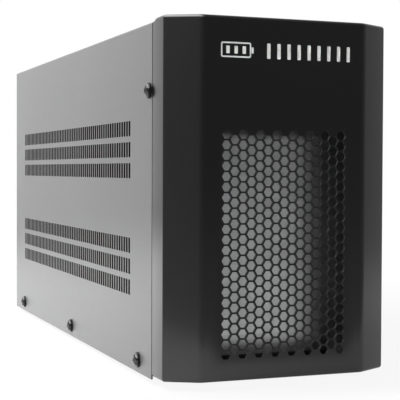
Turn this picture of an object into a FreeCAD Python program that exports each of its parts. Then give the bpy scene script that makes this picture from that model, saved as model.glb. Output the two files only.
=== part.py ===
"""External battery pack for a tower power supply: steel case, moulded front with a hexagon grille.

Frame: X across the case, Y from the front to the back, Z up. The origin is under the middle of the
case, on the surface that the rubber feet stand on. All sizes are in millimetres.
"""

import FreeCAD
import Part
import Sketcher

import math
import os
import re

DRIVING_SIZES = [
    # case
    ("case_width", 145, "outside width of the cover and the moulded front"),
    ("cover_height", 213, "height of the cover, and of the moulded front"),
    ("cover_length", 390, "length of the cover"),
    ("cover_lift", 3, "lower edge of the cover above the floor"),
    ("gauge", 1, "thickness of all sheet steel"),
    ("bend", 1.6, "outside radius of the sheet bends"),
    ("tray_rise", 0.5, "underside of the tray above the lower edge of the cover"),
    ("tray_lip", 18, "height of the tray's side lips"),
    ("lug_width", 14, "width of the tray's welding lugs"),
    ("rear_recess", 2, "rear panel's face inside the rear edge of the cover"),
    ("rear_reach", 5, "how far the connectors stand out behind the cover"),
    ("rear_flange", 12, "rear panel's side flanges"),
    ("rear_slot_first", 0, "first vent slot of the rear panel beside the middle"),
    ("rear_slot_width", 4, "width of a vent slot in the rear panel"),
    ("rear_slot_height", 30, "height of a vent slot in the rear panel"),
    ("rear_slot_low", 130, "rear vent slots above the tray's floor"),
    ("rear_slot_pitch", 8, "distance between two vent slots of the rear panel"),
    ("rear_slot_count", 7, "vent slots in the rear panel"),
    ("plate_setback", 8, "front plate's face behind the front edge of the cover"),
    ("plate_lift", 10.6, "lower edge of the front plate above the lower edge of the cover"),
    # moulded front
    ("front_depth", 31, "depth of the moulded front, its seam included"),
    ("front_strip", 20, "depth of the moulded front's flat sides"),
    ("front_flat", 105.2, "width of the flat face between the two slanted ones"),
    ("front_raise", 1.8, "moulded front above the cover at top and bottom"),
    ("front_wall", 2.5, "wall of the moulded front"),
    ("front_blend", 9, "radius between the flat and the slanted faces"),
    ("front_bevel", 1.2, "bevel round the top and bottom of the moulded front"),
    ("seam", 1, "gap between the moulded front and the cover"),
    ("rim_taper", 5.5, "length over which the top falls to the cover's level"),
    ("hook_height", 12, "height of a snap hook"),
    ("hook_low", 36, "lower snap hooks above the lower edge of the moulded front"),
    ("hook_pitch", 138, "distance between lower and upper snap hooks"),
    ("hook_gauge", 3, "thickness of a snap hook"),
    ("hook_root", 11, "length of a snap hook's root on the wall"),
    ("hook_neck", 1, "neck of a snap hook inside the wall's inner face"),
    ("hook_reach", 0.2, "barb of a snap hook outside the wall's inner face"),
    ("hook_barb", 3, "length of a snap hook's barb"),
    ("hook_play", 0.3, "room round a snap hook in its window"),
    ("overcut", 1, "how far a cut runs past the face it opens"),
    # hexagon grille
    ("hex_across", 5.1, "hexagon hole, across the flats"),
    ("hex_web", 1.05, "web between two holes of a column"),
    ("hex_pitch", 5.31, "distance between two columns"),
    ("hex_columns", 15, "columns, the outer ones being the taller"),
    ("hex_rows", 22, "holes in the outer columns"),
    ("hex_low", 16.9, "lowest hole centres above the lower edge of the cover"),
    ("grille_wall", 1.6, "wall of the grille, thinner than the rest of the moulded front"),
    ("grille_margin", 2, "thin wall beyond the outer holes of the grille"),
    # side vents
    ("vent_width", 3, "width of a vent slot"),
    ("vent_height", 9.6, "height of a vent slot"),
    ("vent_first", 44.5, "first slot behind the front edge of the cover"),
    ("vent_span", 306.7, "distance from the first slot to the last"),
    ("vent_count", 9, "slots in a row of this model; 58 gives the full pattern"),
    ("vent_rows", 3, "rows in a group"),
    ("vent_pitch", 13.25, "distance between two rows"),
    ("vent_low", 50.8, "lowest row of the lower group above the cover's edge"),
    ("vent_high", 124.4, "lowest row of the upper group above the cover's edge"),
    # cover screws
    ("screw_first", 26, "first screw behind the front edge of the cover"),
    ("screw_pitch", 164.5, "distance between two screws of the lower row"),
    ("screw_level", 7.8, "lower row above the lower edge of the cover"),
    ("screw_count", 3, "screws in the lower row"),
    ("corner_setback", 4.8, "upper front screw behind the front edge of the cover"),
    ("corner_level", 172.5, "upper front screw above the lower edge of the cover"),
    ("head_radius", 4.7, "radius of the screw head at its flange"),
    ("head_bevel", 1.5, "bevel round the screw head's crown"),
    ("head_height", 3.1, "height of the screw head"),
    ("shank_radius", 2, "radius of the screw shank and of its holes"),
    ("shank_length", 3.5, "length of the screw shank under the head"),
    # feet
    ("foot_size", 22, "side of a square rubber foot"),
    ("foot_inset", 16, "foot inside the case's side"),
    ("foot_setback", 40, "front feet behind the front edge of the cover"),
    ("foot_pitch", 288, "distance between front and rear feet"),
    # battery blocks
    ("block_width", 65, "battery block, across the case"),
    ("block_length", 151, "battery block, along the case"),
    ("block_case", 86, "height of the block's case below its lid"),
    ("block_lid", 8, "height of the block's lid"),
    ("lid_step", 0.8, "lid inside the block's case"),
    ("block_gap", 0.5, "gap between two blocks"),
    ("tab_height", 6.5, "terminal tab above the lid"),
    ("tab_width", 6.4, "width of a terminal tab"),
    ("tab_gauge", 0.8, "thickness of a terminal tab"),
    ("tab_offset", 24, "terminal tab beside the middle of the block"),
    ("tab_inset", 10, "terminal tabs inside the end of the block"),
    ("front_foam", 10, "foam between the front plate and the blocks"),
    ("front_pad_width", 100, "width of the front foam"),
    ("front_pad_height", 160, "height of the front foam"),
    ("front_pad_low", 20, "front foam above the lower liner"),
    ("top_pad_start", -30, "left side of the top foams beside the middle"),
    ("top_pad_width", 90, "width of a top foam"),
    ("top_pad_length", 80, "length of a top foam"),
    ("top_pad_inset", 20, "top foams inside the ends of the battery stack"),
    ("stop_width", 90, "width of the stop behind the blocks"),
    ("stop_foot", 18, "foot of the stop behind the blocks"),
    ("stop_height", 60, "height of the stop behind the blocks"),
    ("liner", 0.5, "insulating sheet under a layer of blocks"),
    ("layer_room", 8, "room for the links above a layer of blocks"),
    ("shelf_width", 136, "outside width of the shelf"),
    # wiring
    ("bar_width", 8, "width of a bus bar"),
    ("bar_gauge", 2, "thickness of a bus bar and of a link"),
    ("bar_room", 2, "bus bars and links above the lids"),
    ("pole_pitch", 16.5, "distance between the poles of a connector"),
    ("riser_room", 10, "riser behind the battery blocks"),
    # rear connectors
    ("plug_width", 38, "width of a connector's body"),
    ("plug_height", 20, "height of a connector's body"),
    ("plug_length", 23, "length of a connector's body"),
    ("plug_flange", 4, "connector's flange beyond its body"),
    ("flange_gauge", 2.5, "thickness of the connector's flange"),
    ("mouth_width", 30, "width of a connector's mouth"),
    ("mouth_height", 12, "height of a connector's mouth"),
    ("mouth_depth", 18, "depth of a connector's mouth"),
    ("contact_length", 20, "length of a contact"),
    ("contact_drop", 3, "contacts below the middle of the mouth"),
    ("plug_low", 70, "lower connector above the floor"),
    ("plug_pitch", 50, "distance between the connectors"),
]

ALIASES = {alias for alias, _, _ in DRIVING_SIZES}

# Stations and levels that several pieces share, as expressions of the driving sizes.
COVER_FRONT = "((front_depth - cover_length - rear_reach) / 2)"
COVER_REAR = f"({COVER_FRONT} + cover_length)"
REAR_FACE = f"({COVER_REAR} - rear_recess)"
TRAY_UNDERSIDE = "(cover_lift + tray_rise)"
TRAY_FLOOR = f"({TRAY_UNDERSIDE} + gauge)"
LIP_TOP = f"({TRAY_UNDERSIDE} + tray_lip)"
CEILING = "(cover_lift + cover_height - gauge)"
HALF_INSIDE = "(case_width / 2 - gauge)"
HOOK_WALL = "(case_width / 2 - front_wall)"
HEX_ROW = "(hex_across + hex_web)"
HEX_START = "(hex_low - front_raise)"
PLATE_BACK = f"({COVER_FRONT} + plate_setback + gauge)"
STACK_FRONT = f"({PLATE_BACK} + front_foam)"
STACK_LENGTH = "(2 * block_length + block_gap)"
STACK_REAR = f"({STACK_FRONT} + {STACK_LENGTH})"
LOWER_LAYER = f"({TRAY_FLOOR} + liner)"
SHELF_UNDERSIDE = f"({LOWER_LAYER} + block_case + block_lid + layer_room)"
UPPER_LAYER = f"({SHELF_UNDERSIDE} + gauge + liner)"
LIDS = "(block_case + block_lid)"
BLOCK_MIDDLE = "((block_width + block_gap) / 2)"
OUTER_TAB = f"({BLOCK_MIDDLE} + tab_offset)"
INNER_TAB = f"({BLOCK_MIDDLE} - tab_offset)"
FRONT_TABS = f"({STACK_FRONT} + block_length - tab_inset)"
REAR_TABS = f"({STACK_FRONT} + block_length + block_gap + tab_inset)"
PLUG_MIDDLE = f"(pole_pitch / 2 - {OUTER_TAB})"
PLUG_END = f"({COVER_REAR} + rear_reach)"
CONTACT_START = f"({PLUG_END} - plug_length - bar_gauge)"

doc = FreeCAD.newDocument("battery_pack")
sheet = doc.addObject("Spreadsheet::Sheet", "Sizes")


# ---------------------------------------------------------------- helpers


def fill_sheet():
    """Write the driving sizes into the spreadsheet, one row each."""
    for row, (alias, value, meaning) in enumerate(DRIVING_SIZES, 1):
        sheet.set(f"A{row}", alias)
        sheet.set(f"B{row}", str(value))
        sheet.set(f"C{row}", meaning)
        sheet.setAlias(f"B{row}", alias)
    doc.recompute()


def bound(expression):
    """Put the sheet's name before each of its aliases in an expression."""

    def qualify(match):
        word = match.group(0)
        return f"Sizes.{word}" if word in ALIASES else word

    return re.sub(r"[a-z_]+", qualify, str(expression))


def value_of(expression):
    """Work out an expression of the driving sizes."""
    return float(sheet.evalExpression(str(expression)))


def place(thing, across="0", along="0", up="0"):
    """Bind where an object stands."""
    for axis, expression in (("x", across), ("y", along), ("z", up)):
        thing.setExpression(f"Placement.Base.{axis}", bound(expression))


def new_body(label, across="0", along="0", up="0"):
    """Make a body whose origin stands at the given place."""
    body = doc.addObject("PartDesign::Body", label)
    body.Label = label
    place(body, across, along, up)
    return body


def datum(body, role):
    """Return one of the body's own origin planes or axes."""
    return next(item for item in body.Origin.OriginFeatures if item.Role == role)


def new_sketch(body, role, name):
    """Attach an empty sketch to one of the body's origin planes."""
    sketch = body.newObject("Sketcher::SketchObject", f"{body.Name}_{name}")
    sketch.AttachmentSupport = [(datum(body, role), "")]
    sketch.MapMode = "FlatFace"
    return sketch


def bind_point(sketch, edge, end, tag, point):
    """Hold one end of a sketch edge at a bound distance from the sketch's origin."""
    for kind, axis, expression in zip(("DistanceX", "DistanceY"), "xy", point):
        number = sketch.addConstraint(
            Sketcher.Constraint(kind, -1, 1, edge, end, value_of(expression))
        )
        sketch.renameConstraint(number, f"{tag}{axis}")
        sketch.setExpression(f"Constraints.{tag}{axis}", bound(expression))


def add_outline(sketch, tag, points):
    """Add a closed outline of straight edges through bound points."""
    first = sketch.GeometryCount
    count = len(points)
    at = [FreeCAD.Vector(value_of(x), value_of(y), 0) for x, y in points]
    for index in range(count):
        sketch.addGeometry(Part.LineSegment(at[index], at[(index + 1) % count]), False)
    for index in range(count):
        following = first + (index + 1) % count
        sketch.addConstraint(Sketcher.Constraint("Coincident", first + index, 2, following, 1))
    for index in range(count):
        bind_point(sketch, first + index, 1, f"{tag}{index}", points[index])


def add_rectangle(sketch, tag, left, right, low, high):
    """Add a bound rectangle."""
    add_outline(sketch, tag, [(left, low), (right, low), (right, high), (left, high)])


def add_polygon(sketch, tag, across, up, radius, sides):
    """Add a bound regular polygon with its first corner along the sketch's first axis."""
    corners = []
    for index in range(sides):
        angle = 2 * math.pi * index / sides
        corners.append((
            f"{across} + {radius} * {math.cos(angle):.6f}", f"{up} + {radius} * {math.sin(angle):.6f}"
        ))
    add_outline(sketch, tag, corners)


def pad(body, sketch, length, backwards=False, middle=False):
    """Pad a sketch by a bound length."""
    feature = body.newObject("PartDesign::Pad", f"{sketch.Name}_pad")
    feature.Profile = sketch
    feature.Reversed = backwards
    feature.Midplane = middle
    feature.setExpression("Length", bound(length))
    doc.recompute()
    return feature


def pocket(body, sketch, length=None, backwards=False):
    """Cut a sketch by a bound length, or through the whole body both ways."""
    before = body.Shape.Volume
    feature = body.newObject("PartDesign::Pocket", f"{sketch.Name}_cut")
    feature.Profile = sketch
    feature.Reversed = backwards
    if length is None:
        feature.Type = "ThroughAll"
        feature.Midplane = True
    else:
        feature.setExpression("Length", bound(length))
    doc.recompute()
    if body.Shape.Volume >= before:
        raise RuntimeError(f"{feature.Name} cuts nothing")
    return feature


def repeat(body, feature, role, span, count, second=None):
    """Repeat a feature along one origin axis, or along two."""
    pattern = body.newObject("PartDesign::LinearPattern", f"{feature.Name}_row")
    pattern.Originals = [feature]
    pattern.Refine = False
    pattern.Direction = (datum(body, role), [""])
    pattern.setExpression("Length", bound(span))
    pattern.setExpression("Occurrences", bound(count))
    if second is None:
        pattern.Occurrences2 = 1
    else:
        other_role, other_span, other_count = second
        pattern.Direction2 = (datum(body, other_role), [""])
        pattern.setExpression("Length2", bound(other_span))
        pattern.setExpression("Occurrences2", bound(other_count))
    body.Tip = pattern
    doc.recompute()
    return pattern


def mirror(body, features, role):
    """Mirror features in one of the body's origin planes."""
    feature = body.newObject("PartDesign::Mirrored", f"{features[-1].Name}_mirror")
    feature.Originals = features
    feature.MirrorPlane = (datum(body, role), [""])
    body.Tip = feature
    doc.recompute()
    return feature


def edges_at(body, direction, matches):
    """Name the body's straight edges along a direction whose middles satisfy a test.

    The test is given the middle in the body's own coordinates.
    """
    shape = body.Tip.Shape
    names = []
    for number, edge in enumerate(shape.Edges, 1):
        if edge.Curve.TypeId != "Part::GeomLine":
            continue
        if abs(abs(edge.Curve.Direction.dot(direction)) - 1) > 1e-6:
            continue
        if matches(edge.CenterOfMass):
            names.append(f"Edge{number}")
    if not names:
        raise RuntimeError(f"{body.Label}: no such edge")
    return names


def dress_edges(body, kind, names, size):
    """Round or bevel named edges of the body's last feature."""
    base = body.Tip
    feature = body.newObject(f"PartDesign::{kind}", f"{base.Name}_{kind.lower()}")
    feature.Base = (base, names)
    feature.setExpression("Radius" if kind == "Fillet" else "Size", bound(size))
    body.Tip = feature
    doc.recompute()
    return feature


def new_box(label, across, along, up, width, length, height):
    """Make a bound rectangular block, standing on its lowest corner."""
    box = doc.addObject("Part::Box", label)
    box.Label = label
    box.setExpression("Length", bound(width))
    box.setExpression("Width", bound(length))
    box.setExpression("Height", bound(height))
    place(box, across, along, up)
    return box


def group(label, members):
    """Keep separate solids of one kind in one node."""
    compound = doc.addObject("Part::Compound", label)
    compound.Label = label
    compound.Links = members
    return compound


X_WAY, Y_WAY, Z_WAY = FreeCAD.Vector(1, 0, 0), FreeCAD.Vector(0, 1, 0), FreeCAD.Vector(0, 0, 1)

# Screws and their holes are small and many, so they are drawn with few sides.
SCREW_SIDES = 10


# ---------------------------------------------------------------- case


def round_bends(body, level, outer_half, upper):
    """Round the two bends of a folded channel, outside and inside."""
    gauge = value_of("gauge")
    half = value_of(outer_half)
    height = value_of(level)
    inner_height = height - gauge if upper else height + gauge

    def at(middle, reach, up):
        return abs(abs(middle.x) - reach) < 1e-4 and abs(middle.z - up) < 1e-4

    outer = edges_at(body, Y_WAY, lambda middle: at(middle, half, height))
    dress_edges(body, "Fillet", outer, "bend")
    inner = edges_at(body, Y_WAY, lambda middle: at(middle, half - gauge, inner_height))
    dress_edges(body, "Fillet", inner, "bend - gauge")


def ease_upper_corners(body, height):
    """Bevel the upper corners of an end panel, which stand in the cover's bends."""
    corner = (value_of(HALF_INSIDE), value_of(height))

    def on_corner(middle):
        return abs(abs(middle.x) - corner[0]) < 1e-4 and abs(middle.z - corner[1]) < 1e-4

    dress_edges(body, "Chamfer", edges_at(body, Y_WAY, on_corner), "bend - gauge")


def make_cover():
    """Fold the cover: two vented sides and a plain top."""
    body = new_body("cover", along=COVER_FRONT, up="cover_lift")
    section = new_sketch(body, "XZ_Plane", "section")
    half, inner = "case_width / 2", HALF_INSIDE
    add_outline(section, "p", [
        (f"-{half}", "0"), (f"-{half}", "cover_height"), (half, "cover_height"), (half, "0"),
        (inner, "0"), (inner, "cover_height - gauge"),
        (f"-{inner}", "cover_height - gauge"), (f"-{inner}", "0"),
    ])
    pad(body, section, "cover_length", backwards=True)
    round_bends(body, "cover_height", half, upper=True)

    slots = new_sketch(body, "YZ_Plane", "slots")
    for tag, level in (("low", "vent_low"), ("high", "vent_high")):
        add_rectangle(
            slots, tag,
            "vent_first - vent_width / 2", "vent_first + vent_width / 2",
            f"{level} - vent_height / 2", f"{level} + vent_height / 2",
        )
    rows = "vent_pitch * (vent_rows - 1)"
    repeat(body, pocket(body, slots), "Y_Axis", "vent_span", "vent_count",
           ("Z_Axis", rows, "vent_rows"))

    pierce_screw_row(body, "screw_first", "screw_level")
    pierce_corner(body, "corner_level")
    return body


def pierce_screw_row(body, along, up):
    """Pierce both sides for the lower row of screws."""
    hole = new_sketch(body, "YZ_Plane", "screw_hole")
    add_polygon(hole, "p", along, up, "shank_radius", SCREW_SIDES)
    repeat(body, pocket(body, hole), "Y_Axis", "screw_pitch * (screw_count - 1)", "screw_count")


def pierce_corner(body, up):
    """Pierce both sides for the upper front screws."""
    hole = new_sketch(body, "YZ_Plane", "corner_hole")
    add_polygon(hole, "p", "corner_setback", up, "shank_radius", SCREW_SIDES)
    pocket(body, hole)


def make_tray():
    """Fold the tray: a floor with two lips, and lugs that the end panels are welded to."""
    front = f"({PLATE_BACK} - {COVER_FRONT})"
    rear = "(cover_length - rear_recess - gauge)"
    body = new_body("base_tray", along=PLATE_BACK, up=TRAY_UNDERSIDE)
    section = new_sketch(body, "XZ_Plane", "section")
    half, inner = HALF_INSIDE, f"({HALF_INSIDE} - gauge)"
    add_outline(section, "p", [
        (f"-{half}", "0"), (half, "0"), (half, "tray_lip"), (inner, "tray_lip"),
        (inner, "gauge"), (f"-{inner}", "gauge"), (f"-{inner}", "tray_lip"),
        (f"-{half}", "tray_lip"),
    ])
    length = f"({rear} - {front})"
    pad(body, section, length, backwards=True)
    round_bends(body, "0", half, upper=False)
    pierce_screw_row(body, f"screw_first - {front}", "screw_level - tray_rise")

    lugs = new_sketch(body, "XY_Plane", "lugs")
    for tag, start in (("front", "0"), ("rear", f"{length} - gauge")):
        add_rectangle(lugs, tag, f"{inner} - lug_width", inner, start, f"{start} + gauge")
    mirror(body, [pad(body, lugs, "tray_lip")], "YZ_Plane")
    return body


def make_front_plate():
    """Fold the plate behind the grille: a shallow pan that opens to the front."""
    body = new_body("front_plate", along=COVER_FRONT, up="cover_lift + plate_lift")
    section = new_sketch(body, "XY_Plane", "section")
    half, inner = HALF_INSIDE, f"({HALF_INSIDE} - gauge)"
    back = "plate_setback + gauge"
    add_outline(section, "p", [
        (f"-{half}", "0"), (f"-{inner}", "0"), (f"-{inner}", "plate_setback"),
        (inner, "plate_setback"), (inner, "0"), (half, "0"), (half, back), (f"-{half}", back),
    ])
    pad(body, section, "cover_height - gauge - plate_lift")

    windows = new_sketch(body, "XZ_Plane", "windows")
    low = "(hook_low + front_raise - plate_lift)"
    near = f"({HOOK_WALL} - hook_gauge - hook_play)"
    far = f"({HOOK_WALL} - hook_neck + hook_play)"
    for tag, left, right in (("left", f"-{far}", f"-{near}"), ("right", near, far)):
        add_rectangle(windows, tag, left, right, f"{low} - hook_play",
                      f"{low} + hook_height + hook_play")
    repeat(body, pocket(body, windows, back), "Z_Axis", "hook_pitch", "2")
    pierce_corner(body, "corner_level - plate_lift")
    ease_upper_corners(body, "cover_height - gauge - plate_lift")
    return body


def make_rear_panel():
    """Make the rear panel, with its side flanges above the tray's lips."""
    body = new_body("rear_panel", along=REAR_FACE, up=TRAY_FLOOR)
    half, inner = HALF_INSIDE, f"({HALF_INSIDE} - gauge)"
    lip = f"({LIP_TOP} - {TRAY_FLOOR})"
    height = f"({CEILING} - {TRAY_FLOOR})"
    panel = new_sketch(body, "XZ_Plane", "panel")
    add_outline(panel, "p", [
        (f"-{inner}", "0"), (inner, "0"), (inner, lip), (half, lip), (half, height),
        (f"-{half}", height), (f"-{half}", lip), (f"-{inner}", lip),
    ])
    pad(body, panel, "gauge")
    flange = new_sketch(body, "XZ_Plane", "flange")
    add_rectangle(flange, "side", inner, half, lip, height)
    mirror(body, [pad(body, flange, "rear_flange")], "YZ_Plane")

    windows = new_sketch(body, "XZ_Plane", "windows")
    low = f"(plug_low - {TRAY_FLOOR} - plug_height / 2)"
    add_rectangle(windows, "plug", f"{PLUG_MIDDLE} - plug_width / 2",
                  f"{PLUG_MIDDLE} + plug_width / 2", low, f"{low} + plug_height")
    repeat(body, pocket(body, windows), "Z_Axis", "plug_pitch", "2")

    slots = new_sketch(body, "XZ_Plane", "slots")
    add_rectangle(slots, "vent", "rear_slot_first - rear_slot_width / 2",
                  "rear_slot_first + rear_slot_width / 2", "rear_slot_low",
                  "rear_slot_low + rear_slot_height")
    repeat(body, pocket(body, slots), "X_Axis", "rear_slot_pitch * (rear_slot_count - 1)",
           "rear_slot_count")
    ease_upper_corners(body, height)
    return body


# ---------------------------------------------------------------- moulded front


def make_front():
    """Mould the front: a cap with slanted sides, a hexagon grille and four snap hooks."""
    body = new_body("front_bezel", along=f"{COVER_FRONT} - seam", up="cover_lift + front_raise")
    outline = new_sketch(body, "XY_Plane", "outline")
    half, flat = "case_width / 2", "front_flat / 2"
    rim, depth = "(seam - front_strip)", "(seam - front_depth)"
    add_outline(outline, "p", [
        (f"-{half}", "0"), (f"-{half}", rim), (f"-{flat}", depth),
        (flat, depth), (half, rim), (half, "0"),
    ])
    pad(body, outline, "cover_height")

    def on_front_corner(middle):
        return abs(abs(middle.x) - value_of(flat)) < 1e-4

    dress_edges(body, "Fillet", edges_at(body, Z_WAY, on_front_corner), "front_blend")

    front_edges = []
    for number, edge in enumerate(body.Tip.Shape.Edges, 1):
        middle = edge.CenterOfMass
        level = abs(middle.z) < 1e-4 or abs(middle.z - value_of("cover_height")) < 1e-4
        if level and middle.y < -1e-4:
            front_edges.append(f"Edge{number}")
    dress_edges(body, "Chamfer", front_edges, "front_bevel")

    taper = new_sketch(body, "YZ_Plane", "taper")
    add_outline(taper, "p", [
        ("-rim_taper", "cover_height"), ("0", "cover_height - front_raise"),
        ("overcut", "cover_height - front_raise"), ("overcut", "cover_height + overcut"),
        ("-rim_taper", "cover_height + overcut"),
    ])
    pocket(body, taper)
    hollow_front(body)
    add_hooks(body)
    thin_grille(body)
    pierce_grille(body)
    return body


def hollow_front(body):
    """Hollow the moulded front from behind, leaving an even wall."""
    slope = math.atan2(
        value_of("front_depth - front_strip"), value_of("(case_width - front_flat) / 2")
    )
    flat_shift = f"front_wall * {math.tan(slope / 2):.6f}"
    rim_shift = f"front_wall * {math.tan(math.pi / 4 - slope / 2):.6f}"
    half, flat = HOOK_WALL, f"(front_flat / 2 - {flat_shift})"
    rim = f"(seam - front_strip + {rim_shift})"
    face = "(seam - front_depth + front_wall)"
    cavity = new_sketch(body, "XY_Plane", "cavity")
    cavity.AttachmentOffset = FreeCAD.Placement(
        FreeCAD.Vector(0, 0, value_of("front_wall")), FreeCAD.Rotation()
    )
    cavity.setExpression("AttachmentOffset.Base.z", bound("front_wall"))
    add_outline(cavity, "p", [
        (f"-{half}", "overcut"), (f"-{half}", rim), (f"-{flat}", face),
        (flat, face), (half, rim), (half, "overcut"),
    ])
    pocket(body, cavity, "cover_height - 2 * front_wall - front_raise", backwards=True)


def thin_grille(body):
    """Recess the back of the flat face, so that the wall is thin round the holes."""
    recess = new_sketch(body, "XZ_Plane", "grille_recess")
    recess.setExpression("AttachmentOffset.Base.z", bound("front_depth - seam - grille_wall"))
    side = "(hex_pitch * (hex_columns - 1) / 2 + hex_across / sqrt(3) + grille_margin)"
    low = f"({HEX_START} - hex_across / 2 - grille_margin)"
    high = f"({HEX_START} + {HEX_ROW} * (hex_rows - 1) + hex_across / 2 + grille_margin)"
    add_rectangle(recess, "p", f"-{side}", side, low, high)
    pocket(body, recess, "front_wall - grille_wall + overcut")


def pierce_grille(body):
    """Pierce the flat face with two interleaved grids of hexagon holes."""
    for tag, inset, fewer in (("outer", 0, 0), ("inner", 1, 1)):
        hole = new_sketch(body, "XZ_Plane", f"hex_{tag}")
        middle_x = f"(-hex_pitch * (hex_columns - 1) / 2 + {inset} * hex_pitch)"
        middle_z = f"({HEX_START} + {inset} * {HEX_ROW} / 2)"
        add_polygon(hole, "p", middle_x, middle_z, "(hex_across / sqrt(3))", 6)
        hole.setExpression("AttachmentOffset.Base.z", bound("front_depth - seam + overcut"))
        cut = pocket(body, hole, "front_wall + 2 * overcut")
        columns = f"((hex_columns + 1) / 2 - {fewer})"
        rows = f"(hex_rows - {fewer})"
        repeat(body, cut, "X_Axis", f"2 * hex_pitch * ({columns} - 1)", columns,
               ("Z_Axis", f"{HEX_ROW} * ({rows} - 1)", rows))


def add_hooks(body):
    """Add the four snap hooks that pass through the front plate's windows."""
    face = "(seam + plate_setback)"
    back = f"({face} + gauge)"
    inner = f"({HOOK_WALL} - hook_gauge)"
    neck = f"({HOOK_WALL} - hook_neck)"
    root = f"({HOOK_WALL} + front_wall / 2)"
    hooks = new_sketch(body, "XY_Plane", "hooks")
    hooks.setExpression("AttachmentOffset.Base.z", bound("hook_low"))
    for tag, side in (("left", -1), ("right", 1)):
        add_outline(hooks, tag, [
            (f"{side} * {inner}", "-hook_root"), (f"{side} * {root}", "-hook_root"),
            (f"{side} * {root}", "-hook_neck"), (f"{side} * {HOOK_WALL}", "-hook_neck"),
            (f"{side} * {HOOK_WALL}", face), (f"{side} * {neck}", face),
            (f"{side} * {neck}", back), (f"{side} * ({HOOK_WALL} + hook_reach)", back),
            (f"{side} * {neck}", f"{back} + hook_barb"), (f"{side} * {inner}", f"{back} + hook_barb"),
        ])
    repeat(body, pad(body, hooks, "hook_height"), "Z_Axis", "hook_pitch", "2")


# ---------------------------------------------------------------- fasteners and feet


def make_screws(label, along, up, count):
    """Form the flanged dome screws of one height, on both sides of the case."""
    body = new_body(label, along=along, up=up)
    body.AllowCompound = True
    face = "case_width / 2"
    shank = new_sketch(body, "YZ_Plane", "shank")
    shank.setExpression("AttachmentOffset.Base.z", bound(f"{face} - shank_length"))
    add_polygon(shank, "p", "0", "0", "shank_radius", SCREW_SIDES)
    stem = pad(body, shank, "shank_length")
    dome = new_sketch(body, "YZ_Plane", "dome")
    dome.setExpression("AttachmentOffset.Base.z", bound(face))
    add_polygon(dome, "p", "0", "0", "head_radius", SCREW_SIDES)
    head = pad(body, dome, "head_height")
    far = value_of(f"{face} + head_height")
    edges = [
        f"Edge{number}" for number, edge in enumerate(body.Tip.Shape.Edges, 1)
        if abs(edge.CenterOfMass.x - far) < 1e-4
    ]
    bevel = dress_edges(body, "Chamfer", edges, "head_bevel")
    transform = body.newObject("PartDesign::MultiTransform", f"{label}_set")
    transform.Originals = [stem, head, bevel]
    other_side = body.newObject("PartDesign::Mirrored", f"{label}_side")
    other_side.MirrorPlane = (datum(body, "YZ_Plane"), [""])
    steps = [other_side]
    if count != "1":
        row = body.newObject("PartDesign::LinearPattern", f"{label}_row")
        row.Direction = (datum(body, "Y_Axis"), [""])
        row.setExpression("Length", bound(f"screw_pitch * ({count} - 1)"))
        row.setExpression("Occurrences", bound(count))
        steps.append(row)
    transform.Transformations = steps
    body.Tip = transform
    doc.recompute()
    return body


def make_feet():
    """Cut the four rubber feet."""
    body = new_body("rubber_feet", along=COVER_FRONT)
    body.AllowCompound = True
    sole = new_sketch(body, "XY_Plane", "sole")
    left = "foot_inset - case_width / 2"
    add_rectangle(sole, "foot", left, f"{left} + foot_size", "foot_setback",
                  "foot_setback + foot_size")
    foot = pad(body, sole, TRAY_UNDERSIDE)
    repeat(body, foot, "X_Axis", "case_width - 2 * foot_inset - foot_size", "2",
           ("Y_Axis", "foot_pitch", "2"))
    return body


# ---------------------------------------------------------------- battery stack


def make_block(label, side, rear, level):
    """Make one sealed block: case, stepped lid and two terminal tabs."""
    middle = f"{side} * {BLOCK_MIDDLE}"
    half_length = "block_length / 2"
    step = f"{STACK_FRONT} + {half_length} + {int(rear)} * (block_length + block_gap)"
    body = new_body(label, across=middle, along=step, up=level)
    if rear:
        body.Placement.Rotation = FreeCAD.Rotation(Z_WAY, 180)
    for name, inset, height in (("case", "0", "block_case"), ("lid", "lid_step", LIDS)):
        outline = new_sketch(body, "XY_Plane", name)
        add_rectangle(outline, "p", f"{inset} - block_width / 2", f"block_width / 2 - {inset}",
                      f"{inset} - {half_length}", f"{half_length} - {inset}")
        pad(body, outline, height)
    tabs = new_sketch(body, "XY_Plane", "tabs")
    end = f"({half_length} - tab_inset)"
    for tag, way in (("minus", -1), ("plus", 1)):
        add_rectangle(tabs, tag, f"{way} * tab_offset - tab_gauge / 2",
                      f"{way} * tab_offset + tab_gauge / 2",
                      f"{end} - tab_width / 2", f"{end} + tab_width / 2")
    pad(body, tabs, f"{LIDS} + tab_height")
    return body


def make_shelf():
    """Fold the shelf that carries the upper layer."""
    body = new_body("battery_shelf", along=STACK_FRONT, up=TRAY_FLOOR)
    section = new_sketch(body, "XZ_Plane", "section")
    top = f"({SHELF_UNDERSIDE} - {TRAY_FLOOR} + gauge)"
    half, inner = "shelf_width / 2", "(shelf_width / 2 - gauge)"
    add_outline(section, "p", [
        (f"-{half}", "0"), (f"-{half}", top), (half, top), (half, "0"), (inner, "0"),
        (inner, f"{top} - gauge"), (f"-{inner}", f"{top} - gauge"), (f"-{inner}", "0"),
    ])
    pad(body, section, STACK_LENGTH, backwards=True)
    return body


def make_rear_stop():
    """Fold the angle that keeps the blocks from sliding back."""
    body = new_body("rear_stop", across="-stop_width / 2", along=STACK_REAR, up=TRAY_FLOOR)
    section = new_sketch(body, "YZ_Plane", "section")
    add_outline(section, "p", [
        ("0", "0"), ("stop_foot", "0"), ("stop_foot", "gauge"), ("gauge", "gauge"),
        ("gauge", "stop_height"), ("0", "stop_height"),
    ])
    pad(body, section, "stop_width")
    return body


def make_liner(label, level):
    """Cut one insulating sheet under a layer of blocks."""
    width = "(2 * block_width + block_gap)"
    return new_box(label, f"-{width} / 2", STACK_FRONT, level, width, STACK_LENGTH, "liner")


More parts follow.
